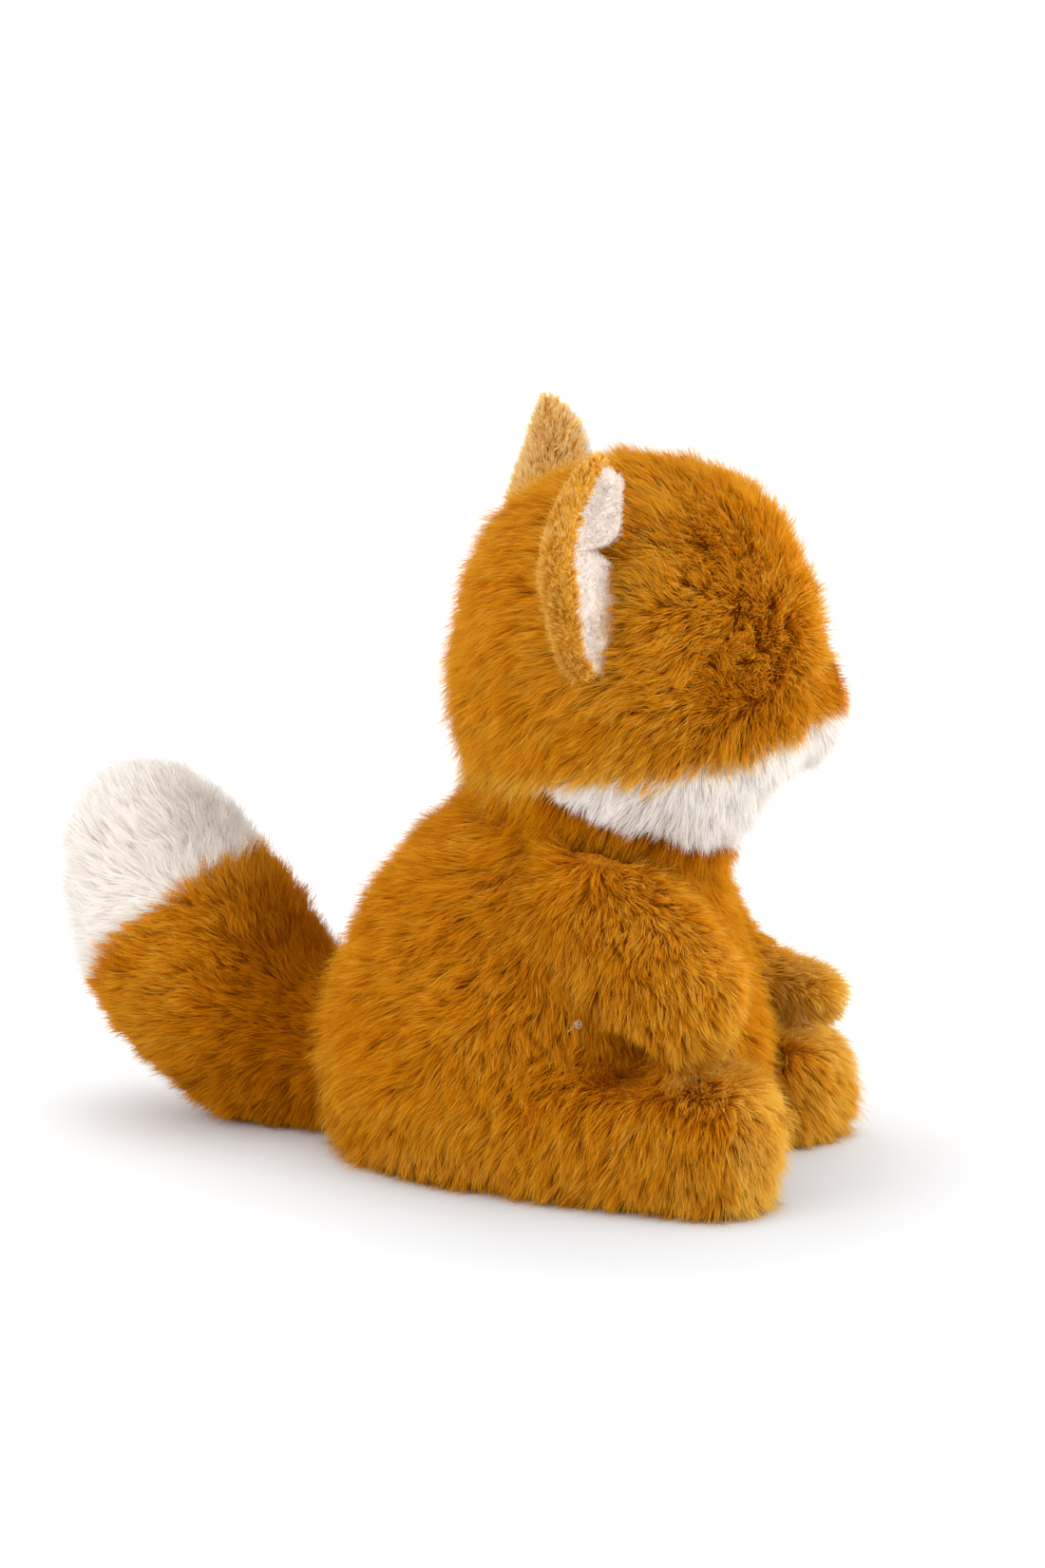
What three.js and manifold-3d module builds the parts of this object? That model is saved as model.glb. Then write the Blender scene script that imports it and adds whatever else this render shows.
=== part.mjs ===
// Sitting plush fox, millimetres, +Z up, the body faces -Y, origin at the middle of the seat on the floor.
// Every soft piece is drawn at the middle of its pile. The head is turned to the fox's own left.
import * as THREE from 'three';
import { mergeVertices } from 'three/addons/utils/BufferGeometryUtils.js';
import Module from 'manifold-3d';

const wasm = await Module();
wasm.setup();

// ---------------------------------------------------------------- driving dimensions
const COVER = 3.0;            // fabric backing and pressed pile of a cover
const GAP = 0.35;             // clearance between two pieces that touch in the real toy
const SEAT_THICK = 3.0;       // seat panel
const PELLET_TOP = 29;        // pellet bag reaches this height

// torso: height, radius, forward shift of the section's centre
const TORSO = [
  [0, 55, 4], [1.2, 59.5, 4], [5, 64, 4], [14, 67.5, 4], [28, 69, 4], [43, 68.2, 3.9], [56, 65, 3.6],
  [70, 60.2, 3.3], [80, 56.1, 2], [90, 51.7, -0.5], [100, 46.2, -4.4], [108, 42.4, -8.4], [116, 36, -12], [122, 25, -14], [125, 0, -14],
];
const TORSO_WIDTH = 0.97;     // side to side against front to back

const NECK = new THREE.Vector3(0, -14, 107.5);                       // centre of the neck seam
const NECK_TILT = THREE.MathUtils.degToRad(9.5);                     // the seam's plane falls forward
const NECK_AXIS = new THREE.Vector3(0, -Math.sin(NECK_TILT), Math.cos(NECK_TILT));
const NECK_TURN = [-45, 15];                                         // the head's travel about the neck
const NECK_THREAD_R = 33, NECK_THREAD_D = 1.5;

const HEAD_C = new THREE.Vector3(0, -26, 164.5);                     // middle of the head
const HEAD_YAW = THREE.MathUtils.degToRad(30);                       // turned to the fox's left
const HEAD_ROLL = THREE.MathUtils.degToRad(-4);                      // leans to its right
const HEAD_HALF = [59, 55.5, 60, 73];                                // half width, half length, up, down
const RUFF_PLANE = { y0: 10, z0: -33.5, slope: -0.19, back: 28 };    // white below this slanted line
const MUZZLE = { c: [0, -46, -19], h: [26, 19, 21] };
const EYE = { x: 18, z: 0.5, r: 5, dome: 2.3, shank: 1.6, shankLen: 11, washerR: 6, washerT: 1.5 };
const NOSE = { z: -11, w: 5.8, h: 4.4, d: 2.2, deep: 4.4, shank: 1.6, shankLen: 4.5 };

// right ear: height, then front, deep and outer points of the cupped section, from the head's middle
const EAR = [
  [3, [-54.5, 22.5], [-56.6, 26.2], [-58.6, 25.2]],
  [9, [-53.5, 20], [-57.6, 29.5], [-62.5, 27.5]],
  [19, [-50.8, 16], [-58.6, 31], [-67.5, 29.5]],
  [29.5, [-47, 13], [-59, 32], [-70.5, 29.2]],
  [41, [-43.4, 9], [-57.5, 28.8], [-69.5, 27]],
  [51, [-47, 6.5], [-56.5, 24], [-65.5, 22.5]],
  [60, [-51.5, 7.5], [-56, 20], [-61.5, 18.5]],
  [66.8, [-54.6, 12.6], [-56, 16.8], [-58, 16.4]],
];
const EAR_SHIFT = { right: [5, 3], left: [0, -5] };                  // how far back the front and the outer points sit
const EAR_LEAN = {                                                   // backward lean, row by row, of the front points and of the rest
  right: [[-0.5, 1.0], [-0.8, 1.4], [-0.8, 1.8], [1.5, 3.2], [4.2, 6.2], [8.4, 8.6], [8.2, 8.8], [7.2, 7.0]],
  left: [[0, 0], [0, 0], [0, 0], [0, 0], [1.2, 0.6], [3.6, 2.4], [4.3, 4.4], [4.6, 4.8]],
};
const EAR_BACK = 2.2, EAR_LINING = 1.8;
const EAR_PIVOT = [-51.5, 17.5, 22], EAR_AXIS = [0.183, -0.355, 0.917], EAR_RANGE = [-8, 12];

// limbs: points of the centre line, then radius across and radius in the limb's own plane
const ARM_R = { p: [[-40, -12, 104], [-44, -28, 92], [-49, -46, 76], [-52, -60, 62], [-52, -72, 51]],
  ra: [15, 18, 19.5, 19, 17], rb: [17, 20.5, 23, 22.5, 20], cap0: 14, cap1: 15 };
const ARM_L = { p: [[40, -12, 101], [44, -18, 82.5], [48, -30, 65.5], [51, -49, 52], [50, -67, 47], [49, -81, 45]],
  ra: [15, 18, 18, 15, 14, 13], rb: [17, 19, 17, 11.5, 9.4, 8.6], cap0: 14, cap1: 11 };
const LEG_R = { p: [[-42, 8, 21.5], [-46, -14, 21.5], [-49, -38, 21.5], [-50, -62, 21.5], [-50, -88, 21.5]],
  ra: [22, 23, 22.5, 22, 22], rb: [21, 21, 21, 21, 21], cap0: 16, cap1: 13, power: 3 };
const LEG_L = { p: [[42, 8, 19], [46, -14, 18.4], [47, -38, 18.2], [42.5, -60, 18], [37, -83, 18]],
  ra: [22, 23, 22.5, 22, 22], rb: [19.5, 18.4, 18, 17.8, 17.8], cap0: 16, cap1: 12, power: 3 };
const FLOOR_LIFT = 0.2;       // legs are flat here, a hair above the seat
const TAIL = { p: [[0, 54, 24], [0, 75, 26.5], [0, 98, 32.5], [0, 118, 46], [0, 131, 65], [0, 139.8, 84], [0, 145.2, 100], [0, 149.3, 113.5]],
  ra: [20, 23, 28, 34, 34.5, 31, 23, 16], rb: [21, 25, 31, 35.4, 36.8, 33.2, 25.4, 18], cap0: 12, cap1: 17 };
const TAIL_SEAM = { c: [0, 132, 66.5], n: [0, 0.62, 0.785] };        // orange meets white here

// joints: pivot, axis, range in degrees
const SHOULDER_R = { pos: [-44, -18, 92], axis: [-0.94, 0, -0.34], range: [0, 22] };
const SHOULDER_L = { pos: [44, -18, 90], axis: [-0.94, 0, 0.34], range: [0, 22] };
const HIP_R = { pos: [-46, -4, 22], axis: [0, 0, -1], range: [-4, 24] };
const HIP_L = { pos: [46, -4, 19], axis: [0, 0, 1], range: [-4, 24] };
const TAIL_ROOT = { pos: [0, 70, 45], axis: [1, 0, 0], range: [0, 20] };
const KNOT = { pos: [-59.6, -28, 55.5], r: 1.7 };

// ---------------------------------------------------------------- solids
const V = (a) => (a.isVector3 ? a.clone() : new THREE.Vector3(...a));

function toSolid(geometry) {
  const g = geometry.clone();
  for (const key of Object.keys(g.attributes)) if (key !== 'position') g.deleteAttribute(key);
  const m = mergeVertices(g, 1e-5);
  return new wasm.Manifold(new wasm.Mesh({
    numProp: 3, vertProperties: new Float32Array(m.attributes.position.array), triVerts: new Uint32Array(m.index.array),
  }));
}

function toGeometry(solid) {
  const m = solid.getMesh();
  const pos = new Float32Array(m.numVert * 3);
  for (let i = 0; i < m.numVert; i++) for (let k = 0; k < 3; k++) pos[3 * i + k] = m.vertProperties[i * m.numProp + k];
  const g = new THREE.BufferGeometry();
  g.setAttribute('position', new THREE.BufferAttribute(pos, 3));
  g.setIndex(new THREE.BufferAttribute(new Uint32Array(m.triVerts), 1));
  g.computeVertexNormals();
  return g;
}

// closed surface from rings of points, with a pole at each end
function ringed(first, rings, last) {
  const n = rings[0].length, pos = [], idx = [];
  const push = (p) => pos.push(p.x, p.y, p.z);
  push(first);
  for (const r of rings) r.forEach(push);
  push(last);
  const at = (i, j) => 1 + i * n + ((j + n) % n);
  const end = 1 + rings.length * n;
  for (let j = 0; j < n; j++) {
    idx.push(0, at(0, j + 1), at(0, j));
    for (let i = 0; i + 1 < rings.length; i++) {
      idx.push(at(i, j), at(i, j + 1), at(i + 1, j + 1), at(i, j), at(i + 1, j + 1), at(i + 1, j));
    }
    idx.push(end, at(rings.length - 1, j), at(rings.length - 1, j + 1));
  }
  const g = new THREE.BufferGeometry();
  g.setAttribute('position', new THREE.Float32BufferAttribute(pos, 3));
  g.setIndex(idx);
  g.computeVertexNormals();
  return g;
}

// the same surface moved inwards by d along its normals
function inset(geometry, d) {
  if (d === 0) return geometry;
  const g = geometry.clone(), p = g.attributes.position, n = geometry.attributes.normal;
  for (let i = 0; i < p.count; i++) p.setXYZ(i, p.getX(i) - n.getX(i) * d, p.getY(i) - n.getY(i) * d, p.getZ(i) - n.getZ(i) * d);
  g.computeVertexNormals();
  return g;
}

function torsoForm(d, seg = 30, rings = 14) {
  const curve = new THREE.CatmullRomCurve3(TORSO.map(([z, r, c]) => new THREE.Vector3(r, c, z)), false, 'centripetal');
  const list = [];
  for (let i = 0; i < rings; i++) {
    const q = curve.getPointAt(0.001 + 0.962 * (i / (rings - 1)));
    const ring = [];
    for (let j = 0; j < seg; j++) {
      const a = (2 * Math.PI * j) / seg;
      ring.push(new THREE.Vector3(q.x * TORSO_WIDTH * Math.cos(a), q.y + q.x * Math.sin(a), Math.max(q.z, 0)));
    }
    list.push(ring);
  }
  return inset(ringed(new THREE.Vector3(0, 4, 0), list, new THREE.Vector3(0, -14, 125)), d);
}

// head, in its own frame: middle at the origin, face to -Y
function headForm(d, seg = 30, rings = 14) {
  const [hx, hy, up, down] = HEAD_HALF, list = [];
  for (let i = 1; i <= rings; i++) {
    const t = (Math.PI * i) / (rings + 1), low = t < Math.PI / 2;
    const n = low ? 2.5 : 2.1, h = low ? down : up;
    const s = Math.pow(Math.sin(t), 2 / n), zz = Math.pow(Math.abs(Math.cos(t)), 2 / n) * h * (low ? -1 : 1);
    const shift = low ? 0 : -3 * (zz / up);
    const k0 = Math.min(1, Math.max(0, (-zz - 18) / 38)), chin = 1 - 0.27 * k0 * k0 * (3 - 2 * k0);
    const ring = [];
    for (let j = 0; j < seg; j++) {
      const a = (2 * Math.PI * j) / seg, c = Math.cos(a), k = Math.sin(a);
      const e = 2 / 2.15;
      ring.push(new THREE.Vector3(hx * s * Math.sign(c) * Math.abs(c) ** e, shift + hy * s * Math.sign(k) * Math.abs(k) ** e * (k < 0 ? chin : 1), zz));
    }
    list.push(ring);
  }
  return inset(ringed(new THREE.Vector3(0, 0, -down), list, new THREE.Vector3(0, -3, up)), d);
}

// swept limb with round ends; the section is upright in the plane of the centre line
function limbForm(spec, d, seg = 14, rings = 10) {
  const path = new THREE.CatmullRomCurve3(spec.p.map(V), false, 'centripetal');
  const len = path.getLength(), list = [];
  const radius = (arr, u) => {
    const x = u * (arr.length - 1), i = Math.min(arr.length - 2, Math.floor(x)), f = x - i;
    const s = f * f * (3 - 2 * f);
    return arr[i] * (1 - s) + arr[i + 1] * s;
  };
  const us = [];
  const c0 = spec.cap0 / len, c1 = spec.cap1 / len, nc = 3;
  for (let i = 1; i <= nc; i++) us.push([c0 * (1 - Math.cos((Math.PI / 2) * (i / nc))), Math.sin((Math.PI / 2) * (i / nc))]);
  const mid = rings - 2 * nc;
  for (let i = 1; i <= mid; i++) us.push([c0 + (1 - c0 - c1) * (i / (mid + 1)), 1]);
  for (let i = nc; i >= 1; i--) us.push([1 - c1 * (1 - Math.cos((Math.PI / 2) * (i / nc))), Math.sin((Math.PI / 2) * (i / nc))]);
  for (const [u, m] of us) {
    const c = path.getPointAt(u), t = path.getTangentAt(u);
    const side = new THREE.Vector3(1, 0, 0).addScaledVector(t, -t.x).normalize();
    const upv = new THREE.Vector3().crossVectors(side, t).normalize();
    const ra = radius(spec.ra, u) * m, rb = radius(spec.rb, u) * m, ring = [];
    for (let j = 0; j < seg; j++) {
      const a = (2 * Math.PI * (j + 0.5)) / seg, e = 2 / (spec.power || 2), k = Math.cos(a), w = Math.sin(a);
      ring.push(c.clone().addScaledVector(side, ra * Math.sign(k) * Math.abs(k) ** e)
        .addScaledVector(upv, rb * Math.sign(w) * Math.abs(w) ** e));
    }
    list.push(ring);
  }
  const g = ringed(path.getPointAt(0), list, path.getPointAt(1));
  const s = toSolid(g);
  if (s.volume() < 0) {
    const ix = g.index.array;
    for (let i = 0; i < ix.length; i += 3) { const k = ix[i + 1]; ix[i + 1] = ix[i + 2]; ix[i + 2] = k; }
    g.computeVertexNormals();
  }
  return inset(g, d);
}

function box(x0, x1, y0, y1, z0, z1) {
  const g = new THREE.BoxGeometry(x1 - x0, y1 - y0, z1 - z0);
  g.translate((x0 + x1) / 2, (y0 + y1) / 2, (z0 + z1) / 2);
  return g;
}

// everything on the far side of a plane through c with normal n
function beyond(c, n, offset = 0, size = 400) {
  const g = new THREE.BoxGeometry(size, size, size);
  g.translate(0, 0, size / 2 + offset);
  g.applyQuaternion(new THREE.Quaternion().setFromUnitVectors(new THREE.Vector3(0, 0, 1), V(n).normalize()));
  const p = V(c);
  return g.translate(p.x, p.y, p.z);
}

function turned(geometry, pos, axis, deg) {
  const p = V(pos), g = geometry.clone();
  g.translate(-p.x, -p.y, -p.z);
  g.applyQuaternion(new THREE.Quaternion().setFromAxisAngle(V(axis).normalize(), THREE.MathUtils.degToRad(deg)));
  return g.translate(p.x, p.y, p.z);
}

// what has to come off a piece so that it clears its neighbour over a joint's whole travel
function clearOf(piece, neighbour, joint, steps = 4) {
  let out = piece;
  for (let i = 0; i <= steps; i++) {
    const a = joint.range[0] + ((joint.range[1] - joint.range[0]) * i) / steps;
    out = out.subtract(toSolid(turned(neighbour, joint.pos, joint.axis, -a)));
  }
  return out;
}

// the largest body of a solid, without slivers left by a cut
function main(solid) {
  return solid.decompose().reduce((a, b) => (a.volume() > b.volume() ? a : b));
}

// ---------------------------------------------------------------- frames of the bodies
const headTurn = new THREE.Matrix4().makeRotationZ(HEAD_YAW).multiply(new THREE.Matrix4().makeRotationY(HEAD_ROLL));
const headFrame = headTurn.clone().setPosition(HEAD_C);
const headNormal = NECK_AXIS.clone().applyMatrix4(headTurn.clone().invert());
const neckInHead = NECK.clone().applyMatrix4(headFrame.clone().invert());

const aboveNeck = beyond(NECK, NECK_AXIS, -GAP);
const belowNeckInHead = beyond(neckInHead, headNormal.clone().negate(), -GAP);

// ---------------------------------------------------------------- torso
const torsoOut = toSolid(torsoForm(0));
const torsoIn = toSolid(torsoForm(COVER, 18, 10));
const torsoShell = torsoOut.subtract(torsoIn).subtract(toSolid(aboveNeck));
const frontBox = (e) => toSolid(box(-27 - e, 27 + e, -120, -15, 32 - e, 160));
const torsoWall = torsoShell.subtract(toSolid(box(-90, 90, -90, 90, -5, SEAT_THICK + GAP)));
const seatPanel = torsoOut.intersect(toSolid(box(-90, 90, -90, 90, -5, SEAT_THICK)));
const torsoFront = torsoWall.intersect(frontBox(0));
const torsoBack = torsoWall.subtract(frontBox(GAP));
const torsoCoverR = torsoBack.intersect(toSolid(box(-120, -GAP / 2, -120, 120, -5, 160)));
const torsoCoverL = torsoBack.intersect(toSolid(box(GAP / 2, 120, -120, 120, -5, 160)));
const torsoFill = toSolid(torsoForm(COVER + 0.45, 18, 10));
const torsoStuffing = torsoFill.intersect(toSolid(box(-90, 90, -90, 90, PELLET_TOP + GAP, 160)))
  .subtract(toSolid(beyond(NECK, NECK_AXIS, -3.2)));
const pelletBag = torsoFill.intersect(toSolid(box(-90, 90, -90, 90, SEAT_THICK + GAP, PELLET_TOP)));

const neckThread = new THREE.TorusGeometry(NECK_THREAD_R, NECK_THREAD_D / 2, 5, 28);
neckThread.applyQuaternion(new THREE.Quaternion().setFromUnitVectors(new THREE.Vector3(0, 0, 1), NECK_AXIS));
neckThread.translate(...NECK.clone().addScaledVector(NECK_AXIS, -1.6).toArray());

const knot = new THREE.IcosahedronGeometry(KNOT.r, 1);
knot.scale(1, 1.25, 0.8).translate(...KNOT.pos);

// ---------------------------------------------------------------- head, drawn in its own frame
const headOut = toSolid(headForm(0));
const headIn = toSolid(headForm(COVER, 18, 10));
const headCut = toSolid(belowNeckInHead);
let headShell = headOut.subtract(headIn).subtract(headCut);

const ruffNormal = new THREE.Vector3(0, RUFF_PLANE.slope, -1).normalize();
const ruffZone = (e) => toSolid(beyond([0, RUFF_PLANE.y0, RUFF_PLANE.z0], ruffNormal, -e))
  .intersect(toSolid(box(-120, 120, -120, RUFF_PLANE.back + e, -120, 120)));

function eyeFrame(side) {
  const x = side * EYE.x;
  const y = -HEAD_HALF[1] * Math.pow(1 - Math.pow(EYE.x / HEAD_HALF[0], 2.15), 1 / 2.15);
  const out = new THREE.Vector3(side * 0.15, -0.98, 0.08).normalize();
  return new THREE.Matrix4().compose(new THREE.Vector3(x, y, EYE.z),
    new THREE.Quaternion().setFromUnitVectors(new THREE.Vector3(0, 0, 1), out), new THREE.Vector3(1, 1, 1));
}
const lathe = (pts, seg = 12) => {
  const g = new THREE.LatheGeometry(pts.map(([x, y]) => new THREE.Vector2(x, y)), seg);
  return g.rotateX(Math.PI / 2);            // the turning axis becomes +Z
};
const eyeShape = () => {
  const pts = [[0, -EYE.shankLen], [EYE.shank, -EYE.shankLen], [EYE.shank, -2.0], [EYE.r - 0.5, -1.6], [EYE.r, -0.9]];
  for (let i = 1; i < 5; i++) {
    const a = (Math.PI / 2) * (i / 5);
    pts.push([EYE.r * Math.cos(a), -0.9 + (EYE.dome + 0.9) * Math.sin(a)]);
  }
  pts.push([0, EYE.dome]);
  return lathe(pts);
};
const eyeHole = () => lathe([[0, -14], [EYE.shank + GAP, -14], [EYE.shank + GAP, -2.4], [EYE.r + 0.5, -2.2], [EYE.r + 0.5, 8], [0, 8]]);
const washerAt = -(COVER + 1.2);
const eyeWasher = () => lathe([[EYE.shank + 0.3, washerAt - EYE.washerT], [EYE.washerR, washerAt - EYE.washerT],
  [EYE.washerR, washerAt], [EYE.shank + 0.3, washerAt], [EYE.shank + 0.3, washerAt - EYE.washerT]]);
const eyePocket = () => lathe([[0, -EYE.shankLen - 1], [EYE.washerR + 0.6, -EYE.shankLen - 1], [EYE.washerR + 0.6, 8], [0, 8]]);

let headStuffing = toSolid(headForm(COVER + 0.45, 18, 10))
  .subtract(toSolid(beyond(neckInHead, headNormal.clone().negate(), -1.2)));
for (const side of [-1, 1]) {
  headShell = headShell.subtract(toSolid(eyeHole().applyMatrix4(eyeFrame(side))));
  // a flat seat inside the cover for the washer, open to the hollow of the head
  headShell = headShell.subtract(toSolid(lathe([[0, -14], [EYE.washerR + 0.5, -14], [EYE.washerR + 0.5, washerAt + GAP], [0, washerAt + GAP]]).applyMatrix4(eyeFrame(side))));
  headStuffing = headStuffing.subtract(toSolid(eyePocket().applyMatrix4(eyeFrame(side))));
}
const ruff = headShell.intersect(ruffZone(0));
const crown = headShell.subtract(ruffZone(GAP));
const halfBox = (side) => toSolid(side < 0 ? box(-120, -GAP / 2, -120, 120, -120, 120) : box(GAP / 2, 120, -120, 120, -120, 120));

const muzzleBall = new THREE.SphereGeometry(1, 20, 14);
muzzleBall.scale(...MUZZLE.h).translate(...MUZZLE.c);
const headFat = toSolid(headForm(-GAP));
let muzzle = toSolid(muzzleBall).subtract(headFat);
const noseFrame = new THREE.Matrix4().compose(new THREE.Vector3(0, MUZZLE.c[1] - MUZZLE.h[1] + NOSE.deep, NOSE.z),
  new THREE.Quaternion().setFromUnitVectors(new THREE.Vector3(0, 0, 1), new THREE.Vector3(0, -0.93, 0.36).normalize()), new THREE.Vector3(1, 1, 1));
const nosePts = [[0, -NOSE.shankLen], [NOSE.shank, -NOSE.shankLen], [NOSE.shank, 0.3]];
for (let i = 0; i < 6; i++) { const a = (Math.PI / 2) * (i / 6); nosePts.push([NOSE.w * Math.cos(a), 0.6 + NOSE.d * Math.sin(a)]); }
nosePts.push([0, 0.6 + NOSE.d]);
const noseTurn = lathe(nosePts, 16);
{ // wide at the top, pointed below; the shank stays round
  const p = noseTurn.attributes.position;
  for (let i = 0; i < p.count; i++) {
    const x = p.getX(i), y = p.getY(i), z = p.getZ(i);
    if (Math.hypot(x, y) > NOSE.shank + 0.2) {
      const down = Math.max(0, -y / NOSE.w);
      p.setXYZ(i, x * (1 - 0.45 * down * down), y * (NOSE.h / NOSE.w) * (1 + 0.25 * down), z);
    }
  }
}
const noseHole = lathe([[0, -NOSE.shankLen - 0.4], [NOSE.shank + GAP, -NOSE.shankLen - 0.4], [NOSE.shank + GAP, 0.02], [NOSE.w + 1.2, 0.2], [NOSE.w + 1.2, 20], [0, 20]], 16);
muzzle = muzzle.subtract(toSolid(noseHole.clone().applyMatrix4(noseFrame)));
const muzzleTop = main(muzzle.subtract(ruffZone(GAP)));
const muzzleChin = main(muzzle.intersect(ruffZone(0)));

// ---------------------------------------------------------------- ears, drawn in the head's frame
function earPoint(side, u, v) {
  const x = u * (EAR.length - 1), i = Math.min(EAR.length - 2, Math.floor(x)), f = x - i;
  const row = (k) => EAR[Math.max(0, Math.min(EAR.length - 1, k))];
  const mix = (get) => {
    const [a, b, c, d] = [i - 1, i, i + 1, i + 2].map((k) => get(row(k)));
    return 0.5 * (2 * b + (c - a) * f + (2 * a - 5 * b + 4 * c - d) * f * f + (3 * b - a - 3 * c + d) * f * f * f);
  };
  const lean = EAR_LEAN[side < 0 ? 'right' : 'left'];
  const at = (k, c) => mix((r) => r[k][c] + (c ? lean[EAR.indexOf(r)][k === 1 ? 0 : 1] : 0));
  const z = mix((r) => r[0]), q = [];
  for (const c of [0, 1]) {
    const [s1, s2] = c ? EAR_SHIFT[side < 0 ? 'right' : 'left'] : [0, 0], full = Math.sin(Math.PI * Math.min(1, Math.max(0, 0.1 + 0.75 * u)));
    const a = at(1, c) + s1 * full, m = at(2, c) + s2 * full, b = at(3, c) + s2 * full, k = 2 * m - (a + b) / 2;
    q.push((1 - v) * (1 - v) * a + 2 * v * (1 - v) * k + v * v * b);
  }
  return new THREE.Vector3(-side * q[0], q[1], z);
}
function earPlate(side, t0, t1, nu = 9, nv = 6) {
  const e = 1e-3, pos = [], idx = [], at = (l, i, j) => (l * (nu + 1) + i) * (nv + 1) + j;
  for (const t of [t0, t1]) for (let i = 0; i <= nu; i++) for (let j = 0; j <= nv; j++) {
    const u = i / nu, v = 0.02 + 0.96 * (j / nv), p = earPoint(side, u, v);
    const du = earPoint(side, Math.min(1, u + e), v).sub(earPoint(side, Math.max(0, u - e), v));
    const dv = earPoint(side, u, v + e).sub(earPoint(side, u, v - e));
    const n = new THREE.Vector3().crossVectors(du, dv).normalize().multiplyScalar(-side);   // towards the hollow side
    p.addScaledVector(n, t);
    pos.push(p.x, p.y, p.z);
  }
  const quad = (a, b, c, d) => idx.push(a, b, c, a, c, d);
  for (let i = 0; i < nu; i++) for (let j = 0; j < nv; j++) {
    quad(at(1, i, j), at(1, i + 1, j), at(1, i + 1, j + 1), at(1, i, j + 1));
    quad(at(0, i, j), at(0, i, j + 1), at(0, i + 1, j + 1), at(0, i + 1, j));
  }
  for (let i = 0; i < nu; i++) {
    quad(at(0, i, 0), at(0, i + 1, 0), at(1, i + 1, 0), at(1, i, 0));
    quad(at(0, i + 1, nv), at(0, i, nv), at(1, i, nv), at(1, i + 1, nv));
  }
  for (let j = 0; j < nv; j++) {
    quad(at(0, 0, j + 1), at(0, 0, j), at(1, 0, j), at(1, 0, j + 1));
    quad(at(0, nu, j), at(0, nu, j + 1), at(1, nu, j + 1), at(1, nu, j));
  }
  const g = new THREE.BufferGeometry();
  g.setAttribute('position', new THREE.Float32BufferAttribute(pos, 3));
  g.setIndex(idx);
  if (toSolid(g).volume() < 0) for (let i = 0; i < idx.length; i += 3) [idx[i + 1], idx[i + 2]] = [idx[i + 2], idx[i + 1]];
  g.setIndex(idx);
  return g;
}
const headFatter = headForm(-1.5, 20, 14);
const earJoint = (side) => ({ pos: [side * -EAR_PIVOT[0], EAR_PIVOT[1], EAR_PIVOT[2]],
  axis: side < 0 ? EAR_AXIS : [EAR_AXIS[0], -EAR_AXIS[1], -EAR_AXIS[2]], range: EAR_RANGE });
const earBack = (side) => main(clearOf(toSolid(earPlate(side, -EAR_BACK - 0.15, -0.17)), headFatter, earJoint(side)));
const earLining = (side) => main(clearOf(toSolid(earPlate(side, 0.17, EAR_LINING)), headFatter, earJoint(side)));

// ---------------------------------------------------------------- limbs and tail
const torsoFat = torsoForm(-1.6, 20, 14);
function limb(spec, joint, extra = []) {
  let all = toSolid(limbForm(spec, 0));
  for (const g of extra) all = all.subtract(toSolid(g));
  all = clearOf(all, torsoFat, joint, 3);
  const core = toSolid(limbForm(spec, COVER, 10, 9));
  return { all, core, fill: toSolid(limbForm(spec, COVER + 0.45, 10, 9)) };
}
const floorBox = box(-200, 200, -200, 250, -60, FLOOR_LIFT);

// room that the head takes while it turns on the neck
const headSwept = toGeometry([NECK_TURN[0], NECK_TURN[0] / 2, 0, NECK_TURN[1]].map((deg) => toSolid(turned(headForm(-2.2, 16, 10).applyMatrix4(headFrame), NECK, NECK_AXIS, deg)))
  .reduce((p, q) => p.add(q)).intersect(toSolid(beyond(NECK, NECK_AXIS, -1.0))));
function armPieces(spec, joint) {
  const a = limb(spec, joint);
  const mass = clearOf(a.all, headSwept, joint, 2);
  const inner = a.core;
  // the cover is open where the arm is sewn on, so the stuffing reaches the torso side
  return { cover: main(mass.subtract(inner)), stuffing: main(mass.intersect(a.fill)) };
}
const armR = armPieces(ARM_R, SHOULDER_R);
const armL = armPieces(ARM_L, SHOULDER_L);

function legPieces(spec, joint) {
  const a = limb(spec, joint, [floorBox]);
  return { cover: main(a.all.subtract(a.core)), stuffing: main(a.all.intersect(a.fill)) };
}
const legR = legPieces(LEG_R, HIP_R);
const legL = legPieces(LEG_L, HIP_L);

const tailAll = clearOf(toSolid(limbForm(TAIL, 0, 20, 13)), torsoFat, TAIL_ROOT, 4);
const tailCore = toSolid(limbForm(TAIL, COVER, 14, 10));
const tailFill = toSolid(limbForm(TAIL, COVER + 0.45, 14, 10));
const pastSeam = (off) => toSolid(beyond(TAIL_SEAM.c, TAIL_SEAM.n, off));
const tailShell = tailAll.subtract(tailCore);
const tailCover = main(tailShell.subtract(pastSeam(-GAP / 2)));
const tailTip = main(tailShell.intersect(pastSeam(GAP / 2)));
const tailStuffing = main(tailAll.intersect(tailFill));

// ---------------------------------------------------------------- assembly
const ORANGE = 0xb86e12, ORANGE_SHORT = 0xb87a2a, WHITE = 0xebe2da, LINING = 0xede4db, FIBRE = 0xf2f0ea;
const mat = (color, roughness = 0.95, metalness = 0) => new THREE.MeshStandardMaterial({ color, roughness, metalness });

const fox = new THREE.Group();
fox.name = 'plush_fox';

function body(parent, pos, rotation = null) {
  const g = new THREE.Group();
  g.position.copy(V(pos));
  if (rotation) g.rotation.copy(rotation);
  parent.add(g);
  g.updateWorldMatrix(true, false);
  return g;
}
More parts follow.
